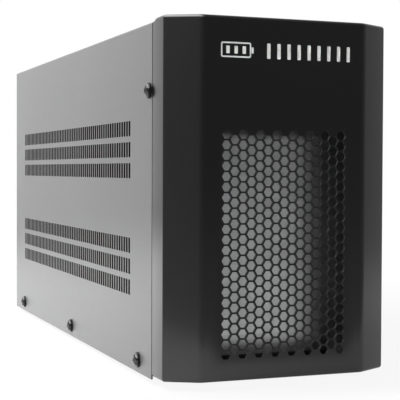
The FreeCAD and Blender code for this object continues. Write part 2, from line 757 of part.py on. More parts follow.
def make_foam():
    """Cut the foam that holds the stack forwards, and under the cover."""
    front = new_box(
        "front_foam", "-front_pad_width / 2", PLATE_BACK, f"{LOWER_LAYER} + front_pad_low",
        "front_pad_width", "front_foam", "front_pad_height",
    )
    top = f"({UPPER_LAYER} + {LIDS})"
    starts = (f"{STACK_FRONT} + top_pad_inset", f"{STACK_REAR} - top_pad_inset - top_pad_length")
    strips = [
        new_box(f"strip_{name}", "top_pad_start", along, top, "top_pad_width", "top_pad_length",
                f"{CEILING} - {top}")
        for name, along in zip(("front", "rear"), starts)
    ]
    return front, group("top_foam", strips)


def make_links():
    """Cut the links that join the blocks of each layer in series."""
    links = []
    near = f"({INNER_TAB} - tab_gauge / 2)"
    for name, level in (("lower", LOWER_LAYER), ("upper", UPPER_LAYER)):
        up = f"{level} + {LIDS} + bar_room"
        for place_name, along in (("front", FRONT_TABS), ("rear", REAR_TABS)):
            links.append(new_box(
                f"{name}_{place_name}", f"-{near}", f"{along} - tab_width / 2", up,
                f"2 * {near}", "tab_width", "bar_gauge",
            ))
        start = f"({FRONT_TABS} + tab_width / 2)"
        links.append(new_box(
            f"{name}_side", f"{OUTER_TAB} - bar_width / 2", start, up,
            "bar_width", f"{REAR_TABS} - tab_width / 2 - {start}", "bar_gauge",
        ))
    return group("jumper_links", links)


def make_lead(label, across, start):
    """Cut one bus bar: a run over each layer, a riser, and a tail to each connector."""
    body = new_body(label, across=across)
    section = new_sketch(body, "YZ_Plane", "section")
    riser = f"({STACK_REAR} + riser_room)"
    back = f"({riser} + bar_gauge)"
    runs = [f"({level} + {LIDS} + bar_room)" for level in (LOWER_LAYER, UPPER_LAYER)]
    plugs = ("plug_low", "(plug_low + plug_pitch)")
    tails = [f"({level} - contact_drop - bar_gauge / 2)" for level in plugs]
    add_outline(section, "p", [
        (start, f"{runs[1]} + bar_gauge"), (start, runs[1]), (riser, runs[1]),
        (riser, f"{runs[0]} + bar_gauge"), (start, f"{runs[0]} + bar_gauge"), (start, runs[0]),
        (riser, runs[0]), (riser, tails[0]), (CONTACT_START, tails[0]),
        (CONTACT_START, f"{tails[0]} + bar_gauge"), (back, f"{tails[0]} + bar_gauge"),
        (back, tails[1]), (CONTACT_START, tails[1]), (CONTACT_START, f"{tails[1]} + bar_gauge"),
        (back, f"{tails[1]} + bar_gauge"), (back, f"{runs[1]} + bar_gauge"),
    ])
    pad(body, section, "bar_width", middle=True)
    return body


def make_leads():
    """Cut both bus bars; the negative one has an arm to the front blocks' tabs."""
    positive = make_lead("lead_positive", f"-{OUTER_TAB}", f"({REAR_TABS} + tab_width / 2)")
    start = f"({FRONT_TABS} - tab_width / 2)"
    negative = make_lead("lead_negative", f"pole_pitch - {OUTER_TAB}", start)
    for name, level in (("lower", LOWER_LAYER), ("upper", UPPER_LAYER)):
        arm = new_sketch(negative, "XY_Plane", f"arm_{name}")
        arm.setExpression("AttachmentOffset.Base.z", bound(f"{level} + {LIDS} + bar_room"))
        add_rectangle(arm, "p", "tab_gauge / 2 - pole_pitch", "0", start, f"{start} + tab_width")
        pad(negative, arm, "bar_gauge")
    return positive, negative


# ---------------------------------------------------------------- rear connectors


def make_connector(label, level):
    """Mould one two-pole connector: body, flange, mouth and two contact slots."""
    body = new_body(label, across=PLUG_MIDDLE, along=PLUG_END, up=level)
    block = new_sketch(body, "XZ_Plane", "block")
    add_rectangle(block, "p", "-plug_width / 2", "plug_width / 2", "-plug_height / 2",
                  "plug_height / 2")
    pad(body, block, "plug_length")
    flange = new_sketch(body, "XZ_Plane", "flange")
    flange.setExpression(
        "AttachmentOffset.Base.z", bound("rear_reach + rear_recess - flange_gauge")
    )
    add_rectangle(flange, "p", "-plug_width / 2 - plug_flange", "plug_width / 2 + plug_flange",
                  "-plug_height / 2 - plug_flange", "plug_height / 2 + plug_flange")
    pad(body, flange, "flange_gauge")
    mouth = new_sketch(body, "XZ_Plane", "mouth")
    add_rectangle(mouth, "p", "-mouth_width / 2", "mouth_width / 2", "-mouth_height / 2",
                  "mouth_height / 2")
    pocket(body, mouth, "mouth_depth", backwards=True)
    slots = new_sketch(body, "XZ_Plane", "slots")
    for tag, way in (("left", -1), ("right", 1)):
        pole = f"{way} * pole_pitch / 2"
        add_rectangle(slots, tag, f"{pole} - bar_width / 2", f"{pole} + bar_width / 2",
                      "-contact_drop - bar_gauge / 2", "bar_gauge / 2 - contact_drop")
    pocket(body, slots, "plug_length + overcut", backwards=True)
    return body


def make_contacts():
    """Cut the contact blades of both connectors."""
    blades = []
    for row, level in (("lower", "plug_low"), ("upper", "plug_low + plug_pitch")):
        for pole, way in (("positive", -1), ("negative", 1)):
            blades.append(new_box(
                f"{row}_{pole}", f"{PLUG_MIDDLE} + {way} * pole_pitch / 2 - bar_width / 2",
                CONTACT_START, f"{level} - contact_drop - bar_gauge / 2",
                "bar_width", "contact_length", "bar_gauge",
            ))
    return group("connector_contacts", blades)


# ---------------------------------------------------------------- build


def make_pieces():
    """Make every piece of the pack and return them in a list."""
    pieces = [
        make_cover(),
        make_tray(),
        make_front_plate(),
        make_rear_panel(),
        make_front(),
        make_screws("base_screws", f"{COVER_FRONT} + screw_first", "cover_lift + screw_level",
                    "screw_count"),
        make_screws("corner_screws", f"{COVER_FRONT} + corner_setback",
                    "cover_lift + corner_level", "1"),
        make_feet(),
        make_shelf(),
        make_rear_stop(),
        make_liner("tray_liner", TRAY_FLOOR),
        make_liner("shelf_liner", f"{SHELF_UNDERSIDE} + gauge"),
    ]
    for layer, level in (("lower", LOWER_LAYER), ("upper", UPPER_LAYER)):
        for row, rear in (("front", False), ("rear", True)):
            for column, side in (("left", -1), ("right", 1)):
                pieces.append(make_block(f"block_{layer}_{row}_{column}", side, rear, level))
    pieces.extend(make_foam())
    pieces.append(make_links())
    pieces.extend(make_leads())
    pieces.append(make_connector("connector_lower", "plug_low"))
    pieces.append(make_connector("connector_upper", "plug_low + plug_pitch"))
    pieces.append(make_contacts())
    return pieces


def check(pieces):
    """Stop if any object failed or any piece has no sound shape."""
    for item in doc.Objects:
        if {"Invalid", "Error"} & set(item.State):
            raise RuntimeError(f"{item.Name} failed: {item.State}")
    for piece in pieces:
        if piece.Shape.isNull() or not piece.Shape.isValid() or piece.Shape.Volume <= 0:
            raise RuntimeError(f"{piece.Label} has no sound shape")


def export(pieces):
    """Write each piece to its own file."""
    os.makedirs("parts", exist_ok=True)
    for piece in pieces:
        piece.Shape.exportStep(os.path.join("parts", f"{piece.Label}.step"))
        print(f"{piece.Label}: {len(piece.Shape.Solids)} solids, {piece.Shape.Volume:.0f} mm3")


fill_sheet()
PIECES = make_pieces()
doc.recompute()
check(PIECES)
export(PIECES)
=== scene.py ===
"""Looks of an external battery pack for a tower power supply.

The case is painted sheet steel with slotted sides. Its moulded front has slanted sides and a
hexagon grille. X runs across the case, Y from the front to the back and Z up, all in metres.
"""

import logging
import math
from collections.abc import Callable, Iterable, Mapping, Sequence
from dataclasses import dataclass
from enum import Enum

import bmesh
import bpy
from bmesh.types import BMesh, BMVert
from bpy.types import ID, Material, Mesh, Node, NodeSocket, NodeTree, Object, World
from mathutils import Matrix, Vector
from mathutils.geometry import delaunay_2d_cdt


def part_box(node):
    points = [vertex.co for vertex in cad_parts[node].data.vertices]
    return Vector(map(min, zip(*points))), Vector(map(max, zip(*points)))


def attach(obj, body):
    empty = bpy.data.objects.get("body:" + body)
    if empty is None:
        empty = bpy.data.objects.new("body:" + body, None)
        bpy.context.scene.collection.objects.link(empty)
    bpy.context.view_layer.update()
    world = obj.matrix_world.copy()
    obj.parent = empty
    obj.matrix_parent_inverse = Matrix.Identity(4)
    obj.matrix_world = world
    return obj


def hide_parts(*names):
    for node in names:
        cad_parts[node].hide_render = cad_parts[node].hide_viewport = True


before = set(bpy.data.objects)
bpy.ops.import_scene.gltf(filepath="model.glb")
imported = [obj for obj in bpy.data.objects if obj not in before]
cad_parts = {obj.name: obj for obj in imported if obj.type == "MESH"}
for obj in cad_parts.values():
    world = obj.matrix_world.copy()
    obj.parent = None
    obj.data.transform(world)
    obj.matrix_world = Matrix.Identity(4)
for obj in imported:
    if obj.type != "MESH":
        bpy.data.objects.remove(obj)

LOG = logging.getLogger("battery_pack")
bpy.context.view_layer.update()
MM = 0.001
ROOT = "root"
FILM = 0.03 * MM  # the face is set back by this, so that the print stays inside the solids
WELD = 0.001 * MM
SNAP = 1e-9
KEYS_PER_METRE = 1e7
X, Y, Z = range(3)

Colour = tuple[float, float, float]
Flat = tuple[float, float]
Point = tuple[float, float, float]

WHITE: Colour = (1.0, 1.0, 1.0)
DUST_TONE: Colour = (0.46, 0.45, 0.43)


class Side(Enum):
    """The two sides of the case."""

    LEFT = -1
    RIGHT = 1


class Slot(Enum):
    """The record's material slots; no made piece in this script is given one."""

    CASE = "case_paint"
    FRONT = "front_plastic"
    SCREW = "screw_black"
    FOOT = "foot_rubber"


# ------------------------------------------------------------------ mesh work


def mesh_data(name: str, mesh: BMesh) -> Mesh:
    """Turn a working mesh into mesh data, and free it.

    Args:
        name: The data's name.
        mesh: The working mesh.

    Returns:
        The mesh data.
    """
    data = bpy.data.meshes.new(name)
    mesh.to_mesh(data)
    mesh.free()
    return data


def scene_object(name: str, data: ID) -> Object:
    """Make an object and put it into the scene.

    Args:
        name: The object's name.
        data: Its mesh, lamp or camera.

    Returns:
        The object.
    """
    made = bpy.data.objects.new(name, data)
    bpy.context.scene.collection.objects.link(made)
    return made


def placed(points: Iterable[Flat], axis: int, depth: float) -> list[Point]:
    """Return flat points in space, all at one depth along the axis that they lack."""
    return [(*point[:axis], depth, *point[axis:]) for point in points]


class MeshWork:
    """Collects faces, welds them and makes one object of them."""

    def __init__(self) -> None:
        """Start empty. New faces take the material that layer counts."""
        self.mesh = bmesh.new()
        self.layer = 0
        self._known: dict[tuple[int, ...], BMVert] = {}

    def vertex(self, point: Sequence[float]) -> BMVert:
        """Return the vertex at a point, made once.

        Args:
            point: Where it is.

        Returns:
            The vertex.
        """
        key = tuple(round(value * KEYS_PER_METRE) for value in point)
        if key not in self._known:
            self._known[key] = self.mesh.verts.new(point)
        return self._known[key]

    def face(self, points: Iterable[Sequence[float]], smooth: bool = False) -> None:
        """Add one face, unless it has shrunk to a line.

        Args:
            points: Its corners in order.
            smooth: Whether it is part of a rounded form.
        """
        corners = list(dict.fromkeys(self.vertex(point) for point in points))
        if len(corners) < 3 or self.mesh.faces.get(corners):
            return
        made = self.mesh.faces.new(corners)
        made.smooth = smooth
        made.material_index = self.layer

    def lay(self, rows: Iterable[Iterable[Point]]) -> None:
        """Make the vertices of several rows in their order, ahead of their faces."""
        for row in rows:
            for point in row:
                self.vertex(point)

    def strip(self, first: Sequence[Point], second: Sequence[Point], closed: bool = False,
              smooth: Sequence[bool] = ()) -> None:
        """Join two rows of points with quads.

        Args:
            first: One row.
            second: The other row, of the same length.
            closed: Whether the rows are loops.
            smooth: Whether each quad is part of a rounded form. None is when it is empty.
        """
        count = len(first)
        for index in range(count if closed else count - 1):
            after = (index + 1) % count
            self.face((first[index], first[after], second[after], second[index]),
                      bool(smooth) and smooth[index])

    def tube(self, first: Sequence[Flat], second: Sequence[Flat], axis: int, start: float,
             end: float) -> None:
        """Join two flat loops, which face an axis, at two depths."""
        self.strip(placed(first, axis, start), placed(second, axis, end), closed=True)

    def plate(self, outline: Sequence[Flat], holes: Sequence[Sequence[Flat]], axis: int,
              depth: float) -> None:
        """Add a flat sheet with open holes, which faces an axis."""
        for triangle in pierced_faces(outline, holes):
            self.face(placed(triangle, axis, depth))

    def column(self, outline: Sequence[Flat], low: float, high: float) -> None:
        """Add a closed upright prism.

        Args:
            outline: Its outline from above.
            low: The level of its foot.
            high: The level of its top.
        """
        self.tube(outline, outline, Z, low, high)
        for level in (low, high):
            self.face(placed(outline, Z, level))

    def piece(self, name: str, materials: Iterable[Material],
              crease: float = 35.0) -> Object:
        """Weld the faces and make the object that rides on the case.

        Args:
            name: The object's name.
            materials: Its finishes, one for each layer.
            crease: Angle in degrees above which an edge is sharp.

        Returns:
            The object.
        """
        bmesh.ops.remove_doubles(self.mesh, verts=self.mesh.verts, dist=WELD)
        bmesh.ops.recalc_face_normals(self.mesh, faces=self.mesh.faces)
        data = mesh_data(name, self.mesh)
        data.set_sharp_from_angle(angle=math.radians(crease))
        for material in materials:
            data.materials.append(material)
        made = scene_object(name, data)
        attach(made, ROOT)
        LOG.info("%s: %d faces", name, len(data.polygons))
        return made


def arc(middle: Flat, radius: float, start: float, end: float, steps: int) -> list[Flat]:
    """Return points on an arc.

    Args:
        middle: The arc's centre.
        radius: Its radius.
        start: Its first angle in degrees.
        end: Its last angle in degrees.
        steps: How many parts it has.

    Returns:
        The points, both ends included.
    """
    points = []
    for step in range(steps + 1):
        angle = math.radians(start + (end - start) * step / steps)
        points.append((middle[0] + radius * math.cos(angle), middle[1] + radius * math.sin(angle)))
    return points


def polygon(middle: Flat, radius: float, sides: int) -> list[Flat]:
    """Return a regular polygon whose first corner is along the first axis."""
    return arc(middle, radius, 0.0, 360.0 * (sides - 1) / sides, sides - 1)


def rounded_box(middle: Flat, width: float, height: float, radius: float,
                steps: int = 3) -> list[Flat]:
    """Return a rectangle with rounded corners.

    Args:
        middle: Its centre.
        width: Its size along the first axis.
        height: Its size along the second axis.
        radius: The radius of its corners.
        steps: How many parts a corner has.

    Returns:
        The outline's points.
    """
    points = []
    for quarter, (way_u, way_v) in enumerate(((1, 1), (-1, 1), (-1, -1), (1, -1))):
        centre = (middle[0] + way_u * (width / 2 - radius),
                  middle[1] + way_v * (height / 2 - radius))
        points.extend(arc(centre, radius, 90.0 * quarter, 90.0 * quarter + 90.0, steps))
    return points


def centred(half: float, low: float, high: float) -> list[Flat]:
    """Return a rectangle that reaches as far to the left as to the right."""
    return [(-half, low), (half, low), (half, high), (-half, high)]


def pierced_faces(outline: Sequence[Flat],
                  holes: Sequence[Sequence[Flat]]) -> list[tuple[Flat, Flat, Flat]]:
    """Cover an outline with triangles, leaving its holes open.

    Args:
        outline: A convex outline.
        holes: Convex holes inside it.

    Returns:
        The triangles.
    """
    points: list[Vector] = []
    edges: list[tuple[int, int]] = []
    owner: list[int] = []
    for number, loop in enumerate([outline, *holes]):
        start, count = len(points), len(loop)
        points.extend(Vector(point) for point in loop)
        edges.extend((start + index, start + (index + 1) % count) for index in range(count))
        owner.extend([number] * count)
    found = delaunay_2d_cdt(points, edges, [], 0, SNAP)
    spots, triangles, sources = found[0], found[2], found[3]
    owners = [owner[source[0]] if source else 0 for source in sources]
    kept = []
    for triangle in triangles:
        loops = {owners[index] for index in triangle}
        if len(loops) > 1 or loops == {0}:
            kept.append(tuple((spots[index][0], spots[index][1]) for index in triangle))
    return kept


# ------------------------------------------------------------------ shading work


class NodeBench:
    """Adds and joins shader nodes in one tree."""

    def __init__(self, tree: NodeTree) -> None:
        """Take the tree to work on."""
        self.tree = tree

    @classmethod
    def cleared(cls, owner: Material | World) -> "NodeBench":
        """Return a bench for the emptied tree of a material or a world.

        Args:
            owner: The material or world.

        Returns:
            The bench.
        """
        owner.use_nodes = True
        owner.node_tree.nodes.clear()
        return cls(owner.node_tree)

    def join(self, value: object, target: NodeSocket) -> None:
        """Link an output to an input, or set the input to a value.

        Args:
            value: An output, a number, a vector or a colour.
            target: The input.
        """
        if isinstance(value, NodeSocket):
            self.tree.links.new(value, target)
        else:
            target.default_value = (*value, 1.0) if target.type == "RGBA" else value

    def node(self, kind: str, inputs: Mapping[str | int, object] | None = None,
             **settings: object) -> Node:
        """Add a node.

        Args:
            kind: The node's type.
            inputs: Outputs or values for its inputs.
            **settings: Its properties.

        Returns:
            The node.
        """
        made = self.tree.nodes.new(kind)
        for name, value in settings.items():
            setattr(made, name, value)
        for name, value in (inputs or {}).items():
            self.join(value, made.inputs[name])
        return made

    def out(self, kind: str, inputs: Mapping[str | int, object] | None = None,
            output: str | int = 0, **settings: object) -> NodeSocket:
        """Add a node and return one of its outputs."""
        return self.node(kind, inputs, **settings).outputs[output]

    def place(self, kind: str = "Object") -> NodeSocket:
        """Return the coordinates of a kind."""
        return self.out("ShaderNodeTexCoord", output=kind)

    def part(self, vector: NodeSocket, axis: int) -> NodeSocket:
        """Return a vector's part along an axis."""
        return self.out("ShaderNodeSeparateXYZ", {0: vector}, axis)

    def sum(self, kind: str, first: object, second: object,
            clamp: bool = False) -> NodeSocket:
        """Return a Math node's result of two outputs or numbers, kept within 0 and 1 if asked."""
        return self.out("ShaderNodeMath", {0: first, 1: second}, operation=kind, use_clamp=clamp)

    def blend(self, share: NodeSocket, first: object,
              second: object) -> NodeSocket:
        """Return a mix of two colours, by the share of the second."""
        return self.out("ShaderNodeMix", {0: share, 6: first, 7: second}, 2, data_type="RGBA")

    def noise(self, place: NodeSocket, scale: object, detail: float,
              stretch: Point | None = None) -> NodeSocket:
        """Add a noise texture.

        Args:
            place: The coordinates' output.
            scale: Its scale, an output or a number.
            detail: Its level of detail.
            stretch: Factors for the coordinates along each axis.

        Returns:
            The noise value's output.
        """
        if stretch is not None:
            place = self.out("ShaderNodeMapping", {"Vector": place, "Scale": stretch})
        return self.out("ShaderNodeTexNoise", {"Vector": place, "Scale": scale, "Detail": detail})

    def spread(self, value: NodeSocket, source: Flat,
               target: Flat = (0.0, 1.0)) -> NodeSocket:
        """Return a value mapped from one range to another, smoothly and within its ends."""
        ends = {"Value": value, "From Min": source[0], "From Max": source[1],
                "To Min": target[0], "To Max": target[1]}
        return self.out("ShaderNodeMapRange", ends, interpolation_type="SMOOTHSTEP")

    def mirrored(self, path: Node) -> NodeSocket:
        """Return 1 for what is seen in or through the object, from a Light Path node."""
        return self.sum("ADD", path.outputs["Is Glossy Ray"],
                        path.outputs["Is Transmission Ray"], True)


Given = Mapping[str, NodeSocket]


class Effects:
    """Shader groups that several finishes share, each built once."""

    COARSE_SCALE = 0.31
    SPECKLE_RANGE: Flat = (0.35, 0.65)
    EDGE_LIKENESS: Flat = (0.995, 0.8)
    BREAK_SCALE = 160.0
    BREAK_RANGE: Flat = (0.35, 0.7)
    BREAK_SHARE: Flat = (0.25, 1.0)
    DRIFT_RANGE: Flat = (0.25, 0.75)
    UPWARD_RANGE: Flat = (0.6, 1.0)
    PATCH_SCALE = 35.0
    PATCH_RANGE: Flat = (0.3, 0.7)
    PATCH_SHARE: Flat = (0.4, 1.0)

    def __init__(self) -> None:
        """Build the groups."""
        self.grain = self._build("fine grain", {"Scale": 1500.0, "Coarse Share": 0.35},
                                 ("Height", "Speckle"), self._grain)
        self.wear = self._build("edge wear", {"Reach": 0.4 * MM, "Amount": 0.5}, ("Mask",),
                                self._wear)
        self.drift = self._build("tone drift", {"Scale": 9.0}, ("Factor",), self._drift)
        self.dust = self._build("settled dust", {"Amount": 0.2}, ("Mask",), self._dust)

    @staticmethod
    def _build(name: str, inputs: Mapping[str, float], outputs: Sequence[str],
               fill: Callable[[NodeBench, Given], Sequence[NodeSocket]],
               ) -> NodeTree:
        """Make one group.

        Args:
            name: The group's name.
            inputs: Names and first values of its inputs.
            outputs: Names of its outputs.
            fill: Adds the nodes between them and returns what is put out.

        Returns:
            The group.
        """
        tree = bpy.data.node_groups.new(name, "ShaderNodeTree")
        for label, value in inputs.items():
            socket = tree.interface.new_socket(label, in_out="INPUT",
                                               socket_type="NodeSocketFloat")
            socket.default_value = value
        for label in outputs:
            tree.interface.new_socket(label, in_out="OUTPUT", socket_type="NodeSocketFloat")
        bench = NodeBench(tree)
        results = fill(bench, bench.node("NodeGroupInput").outputs)
        bench.node("NodeGroupOutput", dict(zip(outputs, results)))
        return tree

    def _grain(self, bench: NodeBench, given: Given) -> Sequence[NodeSocket]:
        """Add fine noise with a share of coarser noise.

        Args:
            bench: The group's bench.
            given: The group's inputs.

        Returns:
            The height, and the fine noise's speckle.
        """
        place = bench.place()
        fine = bench.noise(place, given["Scale"], detail=2.0)
        coarse_scale = bench.sum("MULTIPLY", given["Scale"], self.COARSE_SCALE)
        coarse = bench.noise(place, coarse_scale, detail=3.0)
        height = bench.out("ShaderNodeMix", {0: given["Coarse Share"], 2: fine, 3: coarse},
                           data_type="FLOAT")
        return height, bench.spread(fine, self.SPECKLE_RANGE)

    def _wear(self, bench: NodeBench, given: Given) -> Sequence[NodeSocket]:
        """Add a broken mask along outer edges.

        Args:
            bench: The group's bench.
            given: The group's inputs.

        Returns:
            The mask.
        """
        eased = bench.out("ShaderNodeBevel", {"Radius": given["Reach"]}, samples=4)
        true = bench.out("ShaderNodeNewGeometry", output="True Normal")
        likeness = bench.out("ShaderNodeVectorMath", {0: eased, 1: true}, "Value",
                             operation="DOT_PRODUCT")
        edge = bench.spread(likeness, self.EDGE_LIKENESS)
        broken = bench.spread(bench.noise(bench.place(), self.BREAK_SCALE, detail=4.0),
                              self.BREAK_RANGE, self.BREAK_SHARE)
        mask = bench.sum("MULTIPLY", edge, broken)
        return (bench.sum("MULTIPLY", mask, given["Amount"], True),)

    def _drift(self, bench: NodeBench, given: Given) -> Sequence[NodeSocket]:
        """Return slow changes of tone over the surface."""
        slow = bench.noise(bench.place(), given["Scale"], detail=3.0)
        return (bench.spread(slow, self.DRIFT_RANGE),)

    def _dust(self, bench: NodeBench, given: Given) -> Sequence[NodeSocket]:
        """Add a thin patchy film on what faces up.

        Args:
            bench: The group's bench.
            given: The group's inputs.

        Returns:
            The mask.
        """
        facing = bench.out("ShaderNodeNewGeometry", output="Normal")
        upward = bench.spread(bench.part(facing, Z), self.UPWARD_RANGE)
        patchy = bench.spread(bench.noise(bench.place(), self.PATCH_SCALE, detail=5.0),
                              self.PATCH_RANGE, self.PATCH_SHARE)
        film = bench.sum("MULTIPLY", upward, patchy)
        return (bench.sum("MULTIPLY", film, given["Amount"], True),)


@dataclass(frozen=True)
class Finish:
    """A surface finish: two close tones, a worn tone, its gloss and its grain."""

    name: str
    tone: Colour
    second_tone: Colour
    worn_tone: Colour
    roughness: float
    roughness_spread: float = 0.08
    grain_scale: float = 1500.0
    coarse_share: float = 0.35
    grain_depth: float = 0.05 * MM
    wear: float = 0.3
    wear_reach: float = 0.4 * MM
    dust: float = 0.0
    drift_scale: float = 9.0
    metallic: float = 0.0
    specular: float = 0.5
    dust_mattness: float = 0.3

    def material(self, effects: Effects) -> Material:
        """Build the material.

        Args:
            effects: The shared shader groups.

        Returns:
            The material.
        """
        made = bpy.data.materials.new(self.name)
        bench = NodeBench.cleared(made)
        grain = bench.node("ShaderNodeGroup", {
            "Scale": self.grain_scale, "Coarse Share": self.coarse_share,
        }, node_tree=effects.grain)
        worn = bench.out("ShaderNodeGroup", {"Reach": self.wear_reach, "Amount": self.wear},
                         node_tree=effects.wear)
        colour = bench.blend(self.tone_factor(bench, effects), self.tone, self.second_tone)
        colour = bench.blend(worn, colour, self.worn_tone)
        half = self.roughness_spread / 2
        gloss = bench.spread(grain.outputs["Speckle"], (0.0, 1.0),
                             (self.roughness - half, self.roughness + half))
        if self.dust:
            film = bench.out("ShaderNodeGroup", {"Amount": self.dust}, node_tree=effects.dust)
            colour = bench.blend(film, colour, DUST_TONE)
            gloss = bench.sum("ADD", gloss, bench.sum("MULTIPLY", film, self.dust_mattness),
                              True)
        bump = bench.out("ShaderNodeBump", {
            "Distance": self.grain_depth,
            "Height": self.relief(bench, grain.outputs["Height"]),
        })
        surface = bench.out("ShaderNodeBsdfPrincipled", {
            "Base Color": colour, "Roughness": gloss, "Normal": bump,
            "Metallic": self.metallic, "Specular IOR Level": self.specular,
        })
        bench.node("ShaderNodeOutputMaterial", {0: surface})
        return made

    def tone_factor(self, bench: NodeBench, effects: Effects) -> NodeSocket:
        """Return the share of the second tone over the surface."""
        return bench.out("ShaderNodeGroup", {"Scale": self.drift_scale},
                         node_tree=effects.drift)

    def relief(self, bench: NodeBench, grain: NodeSocket) -> NodeSocket:
        """Return the height that the bump follows."""
        return grain


@dataclass(frozen=True)
class Spangled(Finish):
    """Zinc-coated sheet, whose crystals differ in tone."""

    spangle: float = 110.0

    def tone_factor(self, bench: NodeBench, effects: Effects) -> NodeSocket:
        """Return a share that changes from crystal to crystal."""
        crystals = bench.out("ShaderNodeTexVoronoi",
                             {"Vector": bench.place(), "Scale": self.spangle}, "Color")
        return bench.out("ShaderNodeSeparateColor", {0: crystals}, "Red")


@dataclass(frozen=True)
class Drawn(Finish):
    """Rolled or drawn metal with fine lines along its length."""

    lines: float = 900.0
    line_stretch: Point = (1.0, 0.03, 1.0)
    grain_share: float = 0.3

    def relief(self, bench: NodeBench, grain: NodeSocket) -> NodeSocket:
        """Return the grain with long lines added."""
        line = bench.noise(bench.place(), self.lines, 2.0, self.line_stretch)
        return bench.sum("ADD", bench.sum("MULTIPLY", grain, self.grain_share), line)


@dataclass(frozen=True)
class Foamed(Finish):
    """Closed-cell foam with open pores on its cut faces."""

    cells: float = 900.0
    grain_share: float = 0.2

    def relief(self, bench: NodeBench, grain: NodeSocket) -> NodeSocket:
        """Return the pores' height with a little grain."""
        pores = bench.out("ShaderNodeTexVoronoi", {"Vector": bench.place(), "Scale": self.cells},
                          "Distance")
        return bench.sum("ADD", pores, bench.sum("MULTIPLY", grain, self.grain_share))


@dataclass(frozen=True)
class Graded(Finish):
    """A colour that runs from its first tone at the foot to its second at the top; it carries a
    painted shadow that fades upwards.
    """

    graded_part: Flat = (0.25, 0.96)

    def tone_factor(self, bench: NodeBench, effects: Effects) -> NodeSocket:
        """Return a share that grows with height over the piece."""
        return bench.spread(bench.part(bench.place("Generated"), Z), self.graded_part)


CASE_PAINT = Finish(
    "fine textured grey paint", (0.126, 0.126, 0.128), (0.138, 0.138, 0.140),
    (0.24, 0.24, 0.245), roughness=0.32, grain_scale=1700.0, coarse_share=0.4,
    grain_depth=0.03 * MM, wear=0.35, wear_reach=0.3 * MM, dust=0.03, drift_scale=7.0,
)
# Painted shade: a near-black coat on the slots' walls and the screws' flanges, standing in for the
# shade that falls there.
PAINTED_SHADE = Finish(
    "painted shade on slot walls and screw flanges", (0.010, 0.010, 0.010), (0.014, 0.014, 0.014), (0.03, 0.03, 0.03),
    roughness=0.6, roughness_spread=0.1, grain_scale=1700.0, coarse_share=0.4,
    grain_depth=0.02 * MM, wear=0.0, specular=0.1,
)
FRONT_PLASTIC = Finish(
    "grained black plastic", (0.0016, 0.0016, 0.0017), (0.0022, 0.0022, 0.0023),
    (0.012, 0.012, 0.013), roughness=0.24, roughness_spread=0.06, grain_scale=2600.0,
    coarse_share=0.25, grain_depth=0.012 * MM, wear=0.35, wear_reach=0.35 * MM, dust=0.01,
    drift_scale=11.0, specular=0.68,
)
SHEET_STEEL = Spangled(
    "zinc coated sheet", (0.36, 0.365, 0.37), (0.43, 0.435, 0.44), (0.55, 0.55, 0.55),
    roughness=0.38, roughness_spread=0.1, grain_scale=700.0, coarse_share=0.5,
    grain_depth=0.01 * MM, wear=0.2, wear_reach=0.3 * MM, metallic=0.55,
)
PLATE_STEEL = Spangled(
    "bright zinc coated sheet", (0.38, 0.383, 0.387), (0.44, 0.443, 0.447),
    (0.65, 0.65, 0.65), roughness=0.5, roughness_spread=0.1, grain_scale=700.0,
    coarse_share=0.5, grain_depth=0.01 * MM, wear=0.2, wear_reach=0.3 * MM, metallic=0.1,
)
SCREW_BLACK = Finish(
    "black oxide", (0.045, 0.045, 0.046), (0.06, 0.06, 0.061), (0.1, 0.1, 0.1),
    roughness=0.16, roughness_spread=0.06, grain_scale=2200.0, coarse_share=0.3,
    grain_depth=0.004 * MM, wear=0.1, wear_reach=0.1 * MM, drift_scale=200.0, metallic=1.0,
)
FOOT_RUBBER = Finish(
    "foot rubber", (0.014, 0.014, 0.014), (0.02, 0.02, 0.02), (0.05, 0.05, 0.05),
    roughness=0.72, roughness_spread=0.12, grain_scale=1300.0, coarse_share=0.5,
    wear=0.4, wear_reach=0.5 * MM, drift_scale=60.0,
)
BLOCK_CASE = Finish(
    "battery block plastic", (0.009, 0.01, 0.011), (0.012, 0.013, 0.014), (0.04, 0.04, 0.04),
    roughness=0.6, roughness_spread=0.1, coarse_share=0.3, grain_depth=0.03 * MM, specular=0.1,
)
LINER_SHEET = Finish(
    "liner sheet", (0.66, 0.65, 0.6), (0.7, 0.69, 0.65), (0.8, 0.8, 0.78),
    roughness=0.5, grain_scale=900.0, coarse_share=0.5, grain_depth=0.02 * MM, wear=0.1,
)
CELL_FOAM = Foamed(
    "closed cell foam", (0.05, 0.05, 0.054), (0.065, 0.065, 0.07), (0.1, 0.1, 0.1),
    roughness=0.9, roughness_spread=0.05, grain_scale=1200.0, coarse_share=0.4,
    grain_depth=0.25 * MM, wear=0.1,
)
BAR_COPPER = Drawn(
    "rolled copper", (0.72, 0.34, 0.2), (0.6, 0.27, 0.16), (0.85, 0.5, 0.35),
    roughness=0.28, roughness_spread=0.1, grain_scale=900.0, coarse_share=0.4,
    grain_depth=0.012 * MM, wear=0.4, wear_reach=0.3 * MM, drift_scale=60.0, metallic=1.0,
)
PLUG_PLASTIC = Finish(
    "connector plastic", (0.12, 0.12, 0.122), (0.14, 0.14, 0.142), (0.22, 0.22, 0.22),
    roughness=0.42, grain_scale=2000.0, coarse_share=0.3, grain_depth=0.02 * MM, wear=0.35,
    wear_reach=0.3 * MM,
)
# Painted shadow along the plate's foot: dark at the foot, fading upwards to near the plate's own
# tone.
PAINTED_FOOT_SHADOW = Graded(
    "painted shadow along the plate foot", (0.054, 0.054, 0.055), (0.36, 0.362, 0.365), (0.15, 0.15, 0.15),
    roughness=0.7, roughness_spread=0.1, grain_scale=1300.0, coarse_share=0.5,
    grain_depth=0.03 * MM, wear=0.0,
)
PRINT_WHITE = Finish(
    "white screen print", (0.78, 0.78, 0.77), (0.72, 0.72, 0.71), (0.6, 0.6, 0.6),
    roughness=0.5, roughness_spread=0.06, grain_scale=2600.0, coarse_share=0.25,
    grain_depth=0.01 * MM, wear=0.0, wear_reach=0.1 * MM, drift_scale=120.0,
)


# ------------------------------------------------------------------ case


